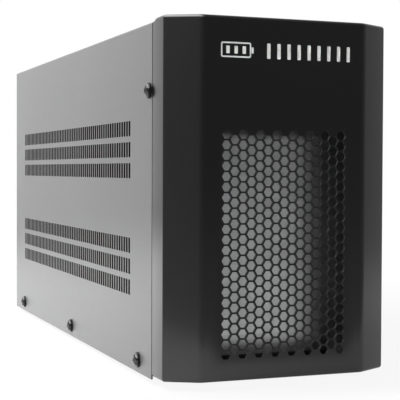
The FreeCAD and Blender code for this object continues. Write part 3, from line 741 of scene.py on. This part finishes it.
@dataclass
class CoverShell:
    """The bent steel cover with its slotted sides."""

    gauge: float = 1.0 * MM
    bend: float = 1.6 * MM
    bend_steps: int = 8
    slot_width: float = 3.6 * MM
    slot_height: float = 9.6 * MM
    slot_radius: float = 0.45 * MM
    slot_edge: float = 0.03 * MM
    slots_in_row: int = 59
    row_start: float = 44.5 * MM
    row_length: float = 306.7 * MM
    row_levels: tuple[float, ...] = (51.0, 64.25, 77.5, 124.6, 137.85, 151.1)
    screws: tuple[Flat, ...] = ((26.0, 7.8), (190.5, 7.8), (355.0, 7.8), (4.8, 172.5))
    screw_radius: float = 2.05 * MM
    screw_sides: int = 24

    def __post_init__(self) -> None:
        """Take the cover's place from the frame."""
        self.low, self.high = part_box("cover")

    def holes(self, grown: float) -> list[list[Flat]]:
        """Return every slot and screw hole of one side, as Y and Z.

        Args:
            grown: How far outside its true edge each one runs.

        Returns:
            The holes' outlines.
        """
        pitch = self.row_length / (self.slots_in_row - 1)
        slots = [
            rounded_box((self.low.y + self.row_start + index * pitch, self.low.z + level * MM),
                        self.slot_width + 2 * grown, self.slot_height + 2 * grown,
                        self.slot_radius + grown, 2)
            for level in self.row_levels
            for index in range(self.slots_in_row)
        ]
        screws = [
            polygon((self.low.y + along * MM, self.low.z + up * MM), self.screw_radius + grown,
                    self.screw_sides)
            for along, up in self.screws
        ]
        return slots + screws

    def _side(self, work: MeshWork, side: Side, top: float) -> None:
        """Build one slotted side.

        Args:
            work: The mesh.
            side: Which side.
            top: The level at which the bend starts.
        """
        outer, edge, inner = (side.value * (self.high.x - depth)
                              for depth in (0.0, self.slot_edge, self.gauge))
        outline = [(self.low.y, self.low.z), (self.high.y, self.low.z),
                   (self.high.y, top), (self.low.y, top)]
        wide, true = self.holes(self.slot_edge), self.holes(0.0)
        work.plate(outline, wide, X, outer)
        work.plate(outline, true, X, inner)
        for large, small in zip(wide, true):
            work.tube(large, small, X, outer, edge)
            # The slots' walls take the painted shade.
            work.layer = 1
            work.tube(small, small, X, edge, inner)
            work.layer = 0

    def build(self, paint: Material, shade: Material) -> Object:
        """Build the cover.

        Args:
            paint: The case paint.
            shade: The painted shade on the slots' walls.

        Returns:
            The cover.
        """
        work = MeshWork()
        top, reach = self.high.z - self.bend, self.high.x - self.bend
        sections = []
        for radius in (self.bend, self.bend - self.gauge):
            right = arc((reach, top), radius, 0.0, 90.0, self.bend_steps)
            sections.append([*right, *((-across, up) for across, up in reversed(right))])
        bent = [True] * self.bend_steps
        for section in sections:
            work.strip(placed(section, Y, self.low.y), placed(section, Y, self.high.y),
                       smooth=[*bent, False, *bent])
        for along in (self.low.y, self.high.y):
            work.strip(*(placed(section, Y, along) for section in sections))
        corners = ((self.low.y, top), (self.low.y, self.low.z),
                   (self.high.y, self.low.z), (self.high.y, top))
        for side in Side:
            self._side(work, side, top)
            work.strip(placed(corners, X, side.value * self.high.x),
                       placed(corners, X, side.value * (self.high.x - self.gauge)))
        cover = work.piece("cover_shell", (paint, shade))
        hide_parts("cover")
        return cover


# ------------------------------------------------------------------ moulded front


@dataclass
class MouldedFront:
    """The moulded front: slanted sides, hexagon grille and snap hooks."""

    depth: float = 31.0 * MM
    strip: float = 20.0 * MM
    flat_width: float = 105.2 * MM
    seam: float = 1.0 * MM
    wall: float = 2.5 * MM
    grille_wall: float = 1.6 * MM
    grille_margin: float = 2.0 * MM
    raise_over: float = 1.8 * MM
    taper: float = 5.5 * MM
    taper_steps: int = 4
    corner_radius: float = 0.8 * MM
    least_radius: float = 0.05 * MM
    corner_steps: int = 5
    blend_radius: float = 9.0 * MM
    blend_steps: int = 10
    rounding: float = 2.0 * MM
    rounding_steps: int = 5
    hex_across: float = 5.1 * MM
    hex_web: float = 1.036 * MM
    hex_pitch: float = 5.31 * MM
    hex_columns: int = 15
    hex_rows: int = 22
    hex_low: float = 17.13 * MM
    hex_middle: float = 0.16 * MM
    hex_edge: float = 0.08 * MM
    hook_low: float = 36.0 * MM
    hook_pitch: float = 138.0 * MM
    hook_height: float = 12.0 * MM
    hook_root: float = 11.0 * MM
    hook_reach: float = 8.0 * MM
    hook_gauge: float = 1.0 * MM
    hook_inner: float = 3.0 * MM
    hook_gap: float = 0.02 * MM
    hook_neck: float = 1.0 * MM
    hook_catch: float = 0.2 * MM
    hook_tip: float = 3.0 * MM

    def __post_init__(self) -> None:
        """Take the front's place from the frame."""
        self.low, self.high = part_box("front_bezel")
        self.cover_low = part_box("cover")[0]
        self.rim = self.cover_low.y - self.seam
        self.half = self.high.x
        self.face = self.low.y + FILM
        self.slope = math.atan2(self.depth - self.strip, self.half - self.flat_width / 2)

    def outline(self, inset: float) -> list[Flat]:
        """Return the front's outline from above.

        Args:
            inset: How far inside the largest outline it runs.

        Returns:
            Points from the left rim round the front to the right rim.
        """
        side = self.half - inset
        shift_rim = inset * math.tan(math.pi / 4 - self.slope / 2)
        rim_corner = (-side, self.cover_low.y - self.strip + shift_rim)
        front_corner = (-self.flat_width / 2 + inset * math.tan(self.slope / 2),
                        self.face + inset)
        points = [(-side, self.rim - self.taper * step / self.taper_steps)
                  for step in range(self.taper_steps + 1)]
        slanted = 270.0 - math.degrees(self.slope)
        for corner, radius, start, end, steps in (
            (rim_corner, max(self.corner_radius - inset, self.least_radius), 180.0, slanted,
             self.corner_steps),
            (front_corner, self.blend_radius - inset, slanted, 270.0, self.blend_steps),
        ):
            first = math.radians(start)
            reach = radius * math.tan(math.radians(end - start) / 2)
            along = (-math.sin(first), math.cos(first))
            touch = (corner[0] - along[0] * reach, corner[1] - along[1] * reach)
            middle = (touch[0] - radius * math.cos(first), touch[1] - radius * math.sin(first))
            points.extend(arc(middle, radius, start, end, steps))
        return [*points, *((-across, along) for across, along in reversed(points))]

    def top_level(self, along: float) -> float:
        """Return the height of the top at a distance along the case."""
        share = min(max((along - (self.rim - self.taper)) / self.taper, 0.0), 1.0)
        return self.high.z - self.raise_over * (share * share * (3 - 2 * share))

    def _rows(self) -> list[list[Point]]:
        """Lay out the outer skin's rows of points.

        Returns:
            The rows, from the bottom to the top.
        """
        turns = [math.pi / 2 * step / self.rounding_steps
                 for step in range(self.rounding_steps + 1)]
        rows = [placed(self.outline(self.rounding * (1 - math.sin(turn))), Z,
                       self.low.z + self.rounding * (1 - math.cos(turn))) for turn in turns]
        base = self.outline(0.0)
        for turn in turns:
            drop = self.rounding * (1 - math.sin(turn))
            inner = self.outline(self.rounding * (1 - math.cos(turn)))
            rows.append([(*point, self.top_level(base_along) - drop)
                         for point, (_, base_along) in zip(inner, base)])
        return rows

    def _skin(self, work: MeshWork, rows: Sequence[Sequence[Point]], middle: int) -> None:
        """Build the outer skin, all but the face with the grille.

        Args:
            work: The mesh.
            rows: The skin's rows of points.
            middle: The number of the face's quad in a row.
        """
        count = len(rows[0])
        flats = {*range(self.taper_steps + 1), self.taper_steps + self.corner_steps + 1}
        flats |= {count - 2 - number for number in flats} | {middle}
        for index, (lower, upper) in enumerate(zip(rows, rows[1:])):
            upright = index == self.rounding_steps
            for number in range(count - 1):
                if upright and number == middle:
                    continue
                work.face((lower[number], lower[number + 1], upper[number + 1], upper[number]),
                          not (upright and number in flats))
        work.face(rows[0])
        top = rows[-1]
        for step in range(self.taper_steps):
            work.face((top[step], top[step + 1], top[-step - 2], top[-step - 1]))
        work.face(top[self.taper_steps:-self.taper_steps])

    def hex_centres(self) -> list[Flat]:
        """Lay out the hexagon holes.

        Returns:
            Their middles, as X and Z.
        """
        row = self.hex_across + self.hex_web
        centres = []
        for column in range(self.hex_columns):
            odd = column % 2
            across = self.hex_middle + (column - (self.hex_columns - 1) / 2) * self.hex_pitch
            start = self.cover_low.z + self.hex_low + odd * row / 2
            centres.extend((across, start + index * row) for index in range(self.hex_rows - odd))
        return centres

    def _grille(self, work: MeshWork, corners: Sequence[Flat], inner: Sequence[Flat]) -> None:
        """Build the flat face with its holes and the recess behind them.

        Args:
            work: The mesh.
            corners: The outer face's corners, as X and Z.
            inner: The inner face's corners, as X and Z.
        """
        radius = self.hex_across / math.sqrt(3)
        grown = radius + self.hex_edge / math.cos(math.pi / 6)
        centres = self.hex_centres()
        true = [polygon(centre, radius, 6) for centre in centres]
        wide = [polygon(centre, grown, 6) for centre in centres]
        neck, back, inside = (self.face + self.hex_edge, self.low.y + self.grille_wall,
                              self.low.y + self.wall)
        side = max(across for across, _ in centres) + radius + self.grille_margin
        margin = self.hex_across / 2 + self.grille_margin
        low, high = centres[0][1] - margin, centres[self.hex_rows - 1][1] + margin
        recess = centred(side, low, high)
        work.plate(corners, wide, Y, self.face)
        work.plate(recess, true, Y, back)
        work.plate(inner, [recess], Y, inside)
        work.tube(recess, recess, Y, back, inside)
        for large, small in zip(wide, true):
            work.tube(large, small, Y, self.face, neck)
            work.tube(small, small, Y, neck, back)

    def _hooks(self, work: MeshWork) -> None:
        """Add the four snap hooks behind the front.

        Args:
            work: The mesh.
        """
        wall = self.half - self.wall
        root, face = self.rim - self.hook_root, self.cover_low.y + self.hook_reach
        back = face + self.hook_gauge
        inner, outer, neck, catch, tip = (wall - self.hook_inner, wall - self.hook_gap,
                                          wall - self.hook_neck, wall + self.hook_catch,
                                          back + self.hook_tip)
        shape = [(inner, root), (outer, root), (outer, face), (neck, face), (neck, back),
                 (catch, back), (neck, tip), (inner, tip)]
        for side in Side:
            outline = [(side.value * across, along) for across, along in shape]
            for level in (self.hook_low, self.hook_low + self.hook_pitch):
                start = self.low.z + level
                work.column(outline, start, start + self.hook_height)

    def build(self, material: Material) -> Object:
        """Build the moulded front.

        Args:
            material: The front's plastic.

        Returns:
            The moulded front.
        """
        work = MeshWork()
        rows = self._rows()
        middle = len(rows[0]) // 2 - 1
        self._skin(work, rows, middle)

        wall = self.half - self.wall
        flat = self.flat_width / 2 - self.wall * math.tan(self.slope / 2)
        bend = (self.cover_low.y - self.strip
                + self.wall * math.tan(math.pi / 4 - self.slope / 2))
        back = self.low.y + self.wall
        floor, ceiling = self.low.z + self.wall, self.high.z - self.raise_over - self.wall
        inner = [(-wall, self.rim), (-wall, bend), (-flat, back),
                 (flat, back), (wall, bend), (wall, self.rim)]
        low_row, high_row = placed(inner, Z, floor), placed(inner, Z, ceiling)
        work.strip(low_row[:3], high_row[:3])
        work.strip(low_row[3:], high_row[3:])
        work.face(low_row)
        work.face(high_row)

        foot, top = (row[middle + 1] for row in
                     rows[self.rounding_steps:self.rounding_steps + 2])
        self._grille(work, centred(foot[X], foot[Z], top[Z]), centred(flat, floor, ceiling))
        rim = [(row[0][X], row[0][Z]) for row in rows]
        rim += [(row[-1][X], row[-1][Z]) for row in reversed(rows)]
        work.plate(rim, [centred(wall, floor, ceiling)], Y, self.rim)
        self._hooks(work)
        front = work.piece("moulded_front", (material,))
        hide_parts("front_bezel")
        return front


@dataclass
class FrontPrint:
    """Plain printed marks high on the front: a battery outline and a row of bars."""

    left: float = -41.0 * MM
    right: float = 45.0 * MM
    level: float = 190.5 * MM
    height: float = 9.0 * MM
    line: float = 0.9 * MM
    depth: float = 1.5 * FILM
    body: float = 19.0 * MM
    body_radii: Flat = (1.2 * MM, 0.4 * MM)
    nub: Point = (1.4 * MM, 3.6 * MM, 0.3 * MM)
    cell: Point = (2.2 * MM, 4.4 * MM, 0.4 * MM)
    cells: int = 3
    cell_start: float = 4.4 * MM
    cell_pitch: float = 5.1 * MM
    bars: int = 9
    bars_start: float = 27.0 * MM
    bar_share: float = 0.34
    bar_radius: float = 0.5 * MM

    def __post_init__(self) -> None:
        """Take the print's place from the front's face and the cover's lower edge."""
        self.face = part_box("front_bezel")[0].y
        self.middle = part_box("cover")[0].z + self.level + self.height / 2

    def _patch(self, work: MeshWork, outline: Sequence[Flat],
               holes: Sequence[Sequence[Flat]] = ()) -> None:
        """Lay one flat mark on the face.

        Args:
            work: The mesh.
            outline: The mark's outline, as X and Z.
            holes: Bare places in it.
        """
        back = self.face + self.depth
        for triangle in pierced_faces(outline, holes):
            for along in (self.face, back):
                work.face(placed(triangle, Y, along))
        for loop in (outline, *holes):
            work.tube(loop, loop, Y, self.face, back)

    def build(self, material: Material) -> Object:
        """Build the marks.

        Args:
            material: The print's ink.

        Returns:
            The marks.
        """
        work = MeshWork()
        centre = (self.left + self.body / 2, self.middle)
        outer, inner = self.body_radii
        self._patch(work, rounded_box(centre, self.body, self.height, outer, 4),
                    [rounded_box(centre, self.body - 2 * self.line,
                                 self.height - 2 * self.line, inner)])
        start = self.left + self.bars_start
        pitch = (self.right - start) / self.bars
        bar = (pitch * self.bar_share, self.height, self.bar_radius)
        marks = [(self.left + self.body + self.line, self.nub)]
        marks += [(self.left + self.cell_start + index * self.cell_pitch, self.cell)
                  for index in range(self.cells)]
        marks += [(start + (index + 0.5) * pitch, bar) for index in range(self.bars)]
        for across, (width, height, radius) in marks:
            self._patch(work, rounded_box((across, self.middle), width, height, radius))
        return work.piece("front_print", (material,))


@dataclass
class PlateFootShadow:
    """A thin dark sheet along the foot of the front plate, which carries a painted shadow that
    fades upwards.
    """

    height: float = 12.5 * MM
    gauge: float = 0.5 * MM
    radius: float = 0.1 * MM
    plate_gauge: float = 1.0 * MM
    margin: float = 22.0 * MM

    def build(self, material: Material) -> Object:
        """Build the thin sheet that carries the painted shadow.

        Args:
            material: The painted shadow.

        Returns:
            The sheet.
        """
        low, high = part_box("front_plate")
        middle = (0.0, high.y - self.plate_gauge - self.gauge / 2)
        work = MeshWork()
        work.column(rounded_box(middle, 2 * (high.x - self.margin), self.gauge, self.radius),
                    low.z, low.z + self.height)
        return work.piece("plate_foot_shadow", (material,))


# ------------------------------------------------------------------ fasteners


@dataclass
class ScrewSet:
    """Flanged dome screws with a cross recess, on both sides of the case."""

    node: str
    name: str
    head_radius: float = 4.7 * MM
    head_height: float = 3.1 * MM
    head_sides: int = 40
    shank_radius: float = 2.0 * MM
    shank_length: float = 3.5 * MM
    shank_edge: float = 0.3 * MM
    flange: tuple[Flat, ...] = ((-0.1, 0.0), (0.0, 0.1), (0.0, 1.0), (-0.1, 1.12), (-0.3, 1.16))
    flange_rings: int = 8
    ledge: float = 0.9 * MM
    dome_base: float = 1.2 * MM
    dome_steps: int = 12
    fullness: float = 0.8
    recess_over: float = 0.3 * MM
    recess_depth: float = 1.7 * MM
    recess_mouth: Flat = (2.15 * MM, 0.42 * MM)
    recess_floor: Flat = (0.9 * MM, 0.26 * MM)
    first_spin: float = 17.0
    spin_step: float = 41.0
    crease: float = 28.0

    def centres(self, count: int) -> list[Flat]:
        """Lay out the screws of one side.

        Args:
            count: Screws on the side.

        Returns:
            Their middles, as Y and Z.
        """
        low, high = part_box(self.node)
        first, last = low.y + self.head_radius, high.y - self.head_radius
        level = (low.z + high.z) / 2
        if count == 1:
            return [((low.y + high.y) / 2, level)]
        return [(first + (last - first) * index / (count - 1), level) for index in range(count)]

    def _profile(self) -> list[Flat]:
        """Draw the screw's half-section.

        Returns:
            Its points, as radius and height.
        """
        shank, reach, edge = self.shank_radius, -self.shank_length, self.shank_edge
        points = [(0.0, reach), (shank - edge, reach), (shank, reach + edge), (shank, 0.0)]
        points += [(self.head_radius + out * MM, up * MM) for out, up in self.flange]
        wide, rise = self.head_radius - self.ledge, self.head_height - self.dome_base
        for step in range(self.dome_steps):
            turn = math.pi / 2 * step / self.dome_steps
            points.append((wide * math.cos(turn) ** self.fullness,
                           self.dome_base + rise * math.sin(turn) ** self.fullness))
        return [*points, (0.0, self.head_height)]

    def _turned(self) -> BMesh:
        """Return one screw along +Z, before its recess is cut.

        Returns:
            The working mesh.
        """
        work = MeshWork()
        rings = [placed(polygon((0.0, 0.0), radius, self.head_sides), Z, up)
                 for radius, up in self._profile()]
        work.lay(rings)
        for number, (lower, upper) in enumerate(zip(rings, rings[1:])):
            # The shank and flange take the second material, a painted shade that makes the flange
            # read black.
            work.layer = int(number < self.flange_rings)
            work.strip(lower, upper, closed=True)
        return work.mesh

    def _cutter(self) -> BMesh:
        """Return the tapered cross that cuts the recess.

        Returns:
            The working mesh.
        """
        work = MeshWork()
        loops = []
        for up, (arm, half) in ((self.head_height + self.recess_over, self.recess_mouth),
                                (self.head_height - self.recess_depth, self.recess_floor)):
            loop = []
            for turn in range(4):
                for across, along in ((arm, -half), (arm, half), (half, half)):
                    for _ in range(turn):
                        across, along = -along, across
                    loop.append((across, along))
            loops.append(placed(loop, Z, up))
        work.lay(loops)
        work.strip(*loops, closed=True)
        for loop in loops:
            work.face(loop)
        return work.mesh

    def _head(self) -> Mesh:
        """Return one screw along +Z, with its recess cut.

        Returns:
            The screw's mesh data.
        """
        things = []
        for name, mesh in (("screw_body", self._turned()), ("screw_recess", self._cutter())):
            bmesh.ops.recalc_face_normals(mesh, faces=mesh.faces)
            things.append(scene_object(name, mesh_data(name, mesh)))
        body, tool = things
        cut = body.modifiers.new("recess", "BOOLEAN")
        cut.operation, cut.solver, cut.object = "DIFFERENCE", "EXACT", tool
        graph = bpy.context.evaluated_depsgraph_get()
        made = bpy.data.meshes.new_from_object(body.evaluated_get(graph))
        for thing in things:
            bpy.data.objects.remove(thing)
        return made

    def build(self, count: int, material: Material,
              shade: Material) -> Object:
        """Build the screws of both sides.

        Args:
            count: Screws on each side.
            material: The finish of their domes.
            shade: The painted shade on their flanges.

        Returns:
            The screws as one piece.
        """
        head = self._head()
        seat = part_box(self.node)[1].x - self.head_height
        work = MeshWork()
        for side in Side:
            turn = Matrix.Rotation(math.radians(90.0 * side.value), 4, "Y")
            for number, (along, up) in enumerate(self.centres(count)):
                angle = self.first_spin + self.spin_step * number
                spin = Matrix.Rotation(math.radians(angle), 4, "Z")
                place = Matrix.Translation((side.value * seat, along, up)) @ turn @ spin
                start = len(work.mesh.verts)
                work.mesh.from_mesh(head)
                work.mesh.verts.ensure_lookup_table()
                bmesh.ops.transform(work.mesh, matrix=place, verts=work.mesh.verts[start:])
        for face in work.mesh.faces:
            face.smooth = True
        made = work.piece(self.name, (material, shade), self.crease)
        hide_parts(self.node)
        return made


# ------------------------------------------------------------------ carried nodes


class Wardrobe:
    """Builds each finish once, and dresses the CAD nodes that are shown as they are."""

    NODES: dict[Finish, tuple[str, ...]] = {
        SHEET_STEEL: ("base_tray", "battery_shelf", "rear_stop"),
        PLATE_STEEL: ("front_plate",),
        CASE_PAINT: ("rear_panel",),
        FOOT_RUBBER: ("rubber_feet",),
        LINER_SHEET: ("tray_liner", "shelf_liner"),
        CELL_FOAM: ("front_foam", "top_foam"),
        BAR_COPPER: ("jumper_links", "lead_positive", "lead_negative", "connector_contacts"),
        PLUG_PLASTIC: ("connector_lower", "connector_upper"),
    }

    def __init__(self, effects: Effects) -> None:
        """Take the shared effects."""
        self.effects = effects
        self.made: dict[str, Material] = {}

    def of(self, finish: Finish) -> Material:
        """Return a finish's material, built once.

        Args:
            finish: The finish.

        Returns:
            Its material.
        """
        if finish.name not in self.made:
            self.made[finish.name] = finish.material(self.effects)
        return self.made[finish.name]

    def dress(self) -> None:
        """Give every shown CAD node its finish."""
        finishes = {name: finish for finish, names in self.NODES.items() for name in names}
        for name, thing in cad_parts.items():
            finish = finishes.get(name, BLOCK_CASE if name.startswith("block_") else None)
            if finish is None:
                continue
            for place in thing.material_slots:
                place.material = self.of(finish)
            LOG.info("%s: %s", name, finish.name)


# ------------------------------------------------------------------ studio


@dataclass(frozen=True)
class Softbox:
    """One lamp: its place, the point it faces and its light.

    It lights matt surfaces only, or is only seen in glossy ones when it is a glint.
    """

    name: str
    place: Point
    aim: Point
    width: float
    height: float
    power: float
    spread: float = 180.0
    glint: bool = False

    def hang(self) -> None:
        """Add the lamp."""
        data = bpy.data.lights.new(self.name, "AREA")
        data.shape = "RECTANGLE"
        data.size, data.size_y = self.width, self.height
        data.energy = self.power
        data.spread = math.radians(self.spread)
        lamp = scene_object(self.name, data)
        lamp.location = self.place
        lamp.rotation_mode = "QUATERNION"
        way = Vector(self.aim) - Vector(self.place)
        lamp.rotation_quaternion = way.to_track_quat("-Z", "Y")
        lamp.visible_glossy = self.glint
        lamp.visible_diffuse = not self.glint


PLATE_FOOT: Point = (0.0, -0.17, -0.02)
FRONT_SPOTS = tuple(
    Softbox(f"front spot {number + 1}", (0.18 * number - 0.05, -1.6, 0.18), PLATE_FOOT,
            0.18, 0.16, power, 20.0)
    for number, power in enumerate((0.036, 0.052, 0.057, 0.068, 0.083))
)
SOFTBOXES = (
    Softbox("top softbox", (0.1, 0.35, 0.95), (0.1, 0.35, 0.0), 0.5, 0.5, 2.0),
    Softbox("back softbox", (-0.4, 0.6, 0.8), (-0.4, 0.6, 0.0), 0.6, 0.6, 8.0),
    Softbox("left softbox", (-0.6, 0.05, 0.8), (-0.35, 0.05, 0.0), 0.5, 0.5, 8.7),
    *FRONT_SPOTS,
    Softbox("low spot", (0.27, -1.6, 0.15), (-0.01, -0.17, 0.03), 0.16, 0.16, 0.012, 9.0),
    Softbox("print spot", (0.0, -1.6, 0.3), (0.0, -0.21, 0.198), 0.12, 0.01, 0.0105, 4.0),
    Softbox("side glint", (-0.95, 0.47, 0.6), (-0.07, -0.1, 0.05), 0.08, 0.08, 2.0, glint=True),
)


@dataclass
class Studio:
    """A white sweep with soft light from above and behind, and a dim room in front."""

    camera_place: Point = (-0.28583, -0.82067, 0.12803)
    heading: float = 20.914
    pitch: float = -1.504
    roll: float = 0.221
    lens: float = 101.87
    sensor: float = 36.0
    clip: Flat = (0.01, 50.0)
    bright_way: Point = (-0.367, 0.93, 0.0)
    room_middle: float = 0.6
    room_swing: float = 0.43
    room_ceiling: float = 8.0
    ceiling_levels: Flat = (0.5, 0.75)
    ceiling_side: Flat = (0.2, -0.2)
    room_foot: float = 0.18
    foot_levels: Flat = (-0.08, -0.15)
    room_ambient: float = 0.075
    table_tone: Colour = (0.82, 0.82, 0.82)
    table_glow: float = 0.4
    table_low: Flat = (-2.0, -0.30)
    table_high: Flat = (0.75, 2.5)
    fade_reach: Flat = (0.3, 0.6)
    fade_front: Flat = (-0.23, -0.285)
    fade_share: Flat = (0.9, 1.0)

    def camera(self) -> None:
        """Set up the camera."""
        data = bpy.data.cameras.new("camera")
        data.lens, data.sensor_width = self.lens, self.sensor
        data.clip_start, data.clip_end = self.clip
        camera = scene_object("camera", data)
        heading, pitch = math.radians(self.heading), math.radians(self.pitch)
        look = Vector((math.sin(heading) * math.cos(pitch), math.cos(heading) * math.cos(pitch),
                       math.sin(pitch)))
        turn = look.to_track_quat("-Z", "Y").to_matrix().to_4x4()
        tilt = Matrix.Rotation(math.radians(self.roll), 4, "Z")
        camera.matrix_world = Matrix.Translation(self.camera_place) @ turn @ tilt
        bpy.context.scene.camera = camera

    def world(self) -> None:
        """Light the room: bright behind the object and to its left, dim in front of it."""
        world = bpy.data.worlds.new("room")
        bench = NodeBench.cleared(world)
        path = bench.node("ShaderNodeLightPath")
        way = bench.place("Generated")
        toward = bench.out("ShaderNodeVectorMath", {0: way, 1: self.bright_way}, "Value",
                           operation="DOT_PRODUCT")
        across, along, up = (bench.part(way, axis) for axis in (X, Y, Z))
        swing = bench.sum("MULTIPLY", toward, self.room_swing)
        high = bench.sum("MULTIPLY", bench.spread(up, self.ceiling_levels),
                         bench.spread(across, self.ceiling_side, (0.0, self.room_ceiling)))
        ahead = bench.sum("MULTIPLY", along, -self.room_foot, True)
        foot = bench.sum("MULTIPLY", bench.spread(up, self.foot_levels), ahead)
        view = bench.sum("ADD", bench.sum("ADD", swing, self.room_middle),
                         bench.sum("ADD", high, foot))
        view = bench.sum("MULTIPLY", view, bench.mirrored(path))
        level = bench.sum("MAXIMUM", view, self.room_ambient)
        room = bench.out("ShaderNodeBackground", {"Color": WHITE, "Strength": level})
        white = bench.out("ShaderNodeBackground", {"Color": WHITE})
        mix = bench.out("ShaderNodeMixShader",
                        {0: path.outputs["Is Camera Ray"], 1: room, 2: white})
        bench.node("ShaderNodeOutputWorld", {0: mix})
        bpy.context.scene.world = world
        bpy.context.scene.view_settings.view_transform = "Standard"

    def sweep(self) -> Material:
        """Return the floor's finish: matt near the object and plain white away from it.

        Returns:
            The material.
        """
        material = bpy.data.materials.new("white sweep")
        bench = NodeBench.cleared(material)
        path = bench.node("ShaderNodeLightPath")
        away = bench.out("ShaderNodeVectorMath", {0: bench.place()}, "Value",
                         operation="LENGTH")
        along = bench.part(bench.place(), Y)
        clear = bench.sum("MAXIMUM", bench.spread(away, self.fade_reach, self.fade_share),
                          bench.spread(along, self.fade_front, self.fade_share))
        seen = bench.sum("MULTIPLY", path.outputs["Is Camera Ray"], clear)
        strength = bench.sum("MULTIPLY", bench.mirrored(path), self.table_glow)
        matt = bench.out("ShaderNodeBsdfDiffuse", {"Color": self.table_tone})
        glow = bench.out("ShaderNodeEmission", {"Color": WHITE, "Strength": strength})
        lit = bench.out("ShaderNodeAddShader", {0: matt, 1: glow})
        white = bench.out("ShaderNodeEmission", {"Color": WHITE})
        mix = bench.out("ShaderNodeMixShader", {0: seen, 1: lit, 2: white})
        bench.node("ShaderNodeOutputMaterial", {0: mix})
        return material

    def floor(self) -> None:
        """Lay the white table, which keeps a faint shadow and fades out round the object."""
        work = bmesh.new()
        (left, front), (right, back) = self.table_low, self.table_high
        corners = ((left, front), (right, front), (right, back), (left, back))
        work.faces.new([work.verts.new(point) for point in placed(corners, Z, 0.0)])
        floor = scene_object("studio_floor", mesh_data("studio_floor", work))
        floor.data.materials.append(self.sweep())

    def build(self) -> None:
        """Set up the floor, the room, the lamps and the camera."""
        self.floor()
        self.world()
        for softbox in SOFTBOXES:
            softbox.hang()
        self.camera()


def main() -> None:
    """Build every piece, dress the carried nodes and set up the studio."""
    logging.basicConfig(level=logging.INFO, format="%(message)s")
    wardrobe = Wardrobe(Effects())
    CoverShell().build(wardrobe.of(CASE_PAINT), wardrobe.of(PAINTED_SHADE))
    MouldedFront().build(wardrobe.of(FRONT_PLASTIC))
    FrontPrint().build(wardrobe.of(PRINT_WHITE))
    # The front plate's foot gets a painted shadow.
    PlateFootShadow().build(wardrobe.of(PAINTED_FOOT_SHADOW))
    # The screws' flanges take the painted shade.
    screw_finish_and_painted_shade = (wardrobe.of(SCREW_BLACK), wardrobe.of(PAINTED_SHADE))
    ScrewSet("base_screws", "base_screw_set").build(3, *screw_finish_and_painted_shade)
    ScrewSet("corner_screws", "corner_screw_set").build(1, *screw_finish_and_painted_shade)
    wardrobe.dress()
    Studio().build()


if __name__ == "__main__":
    main()
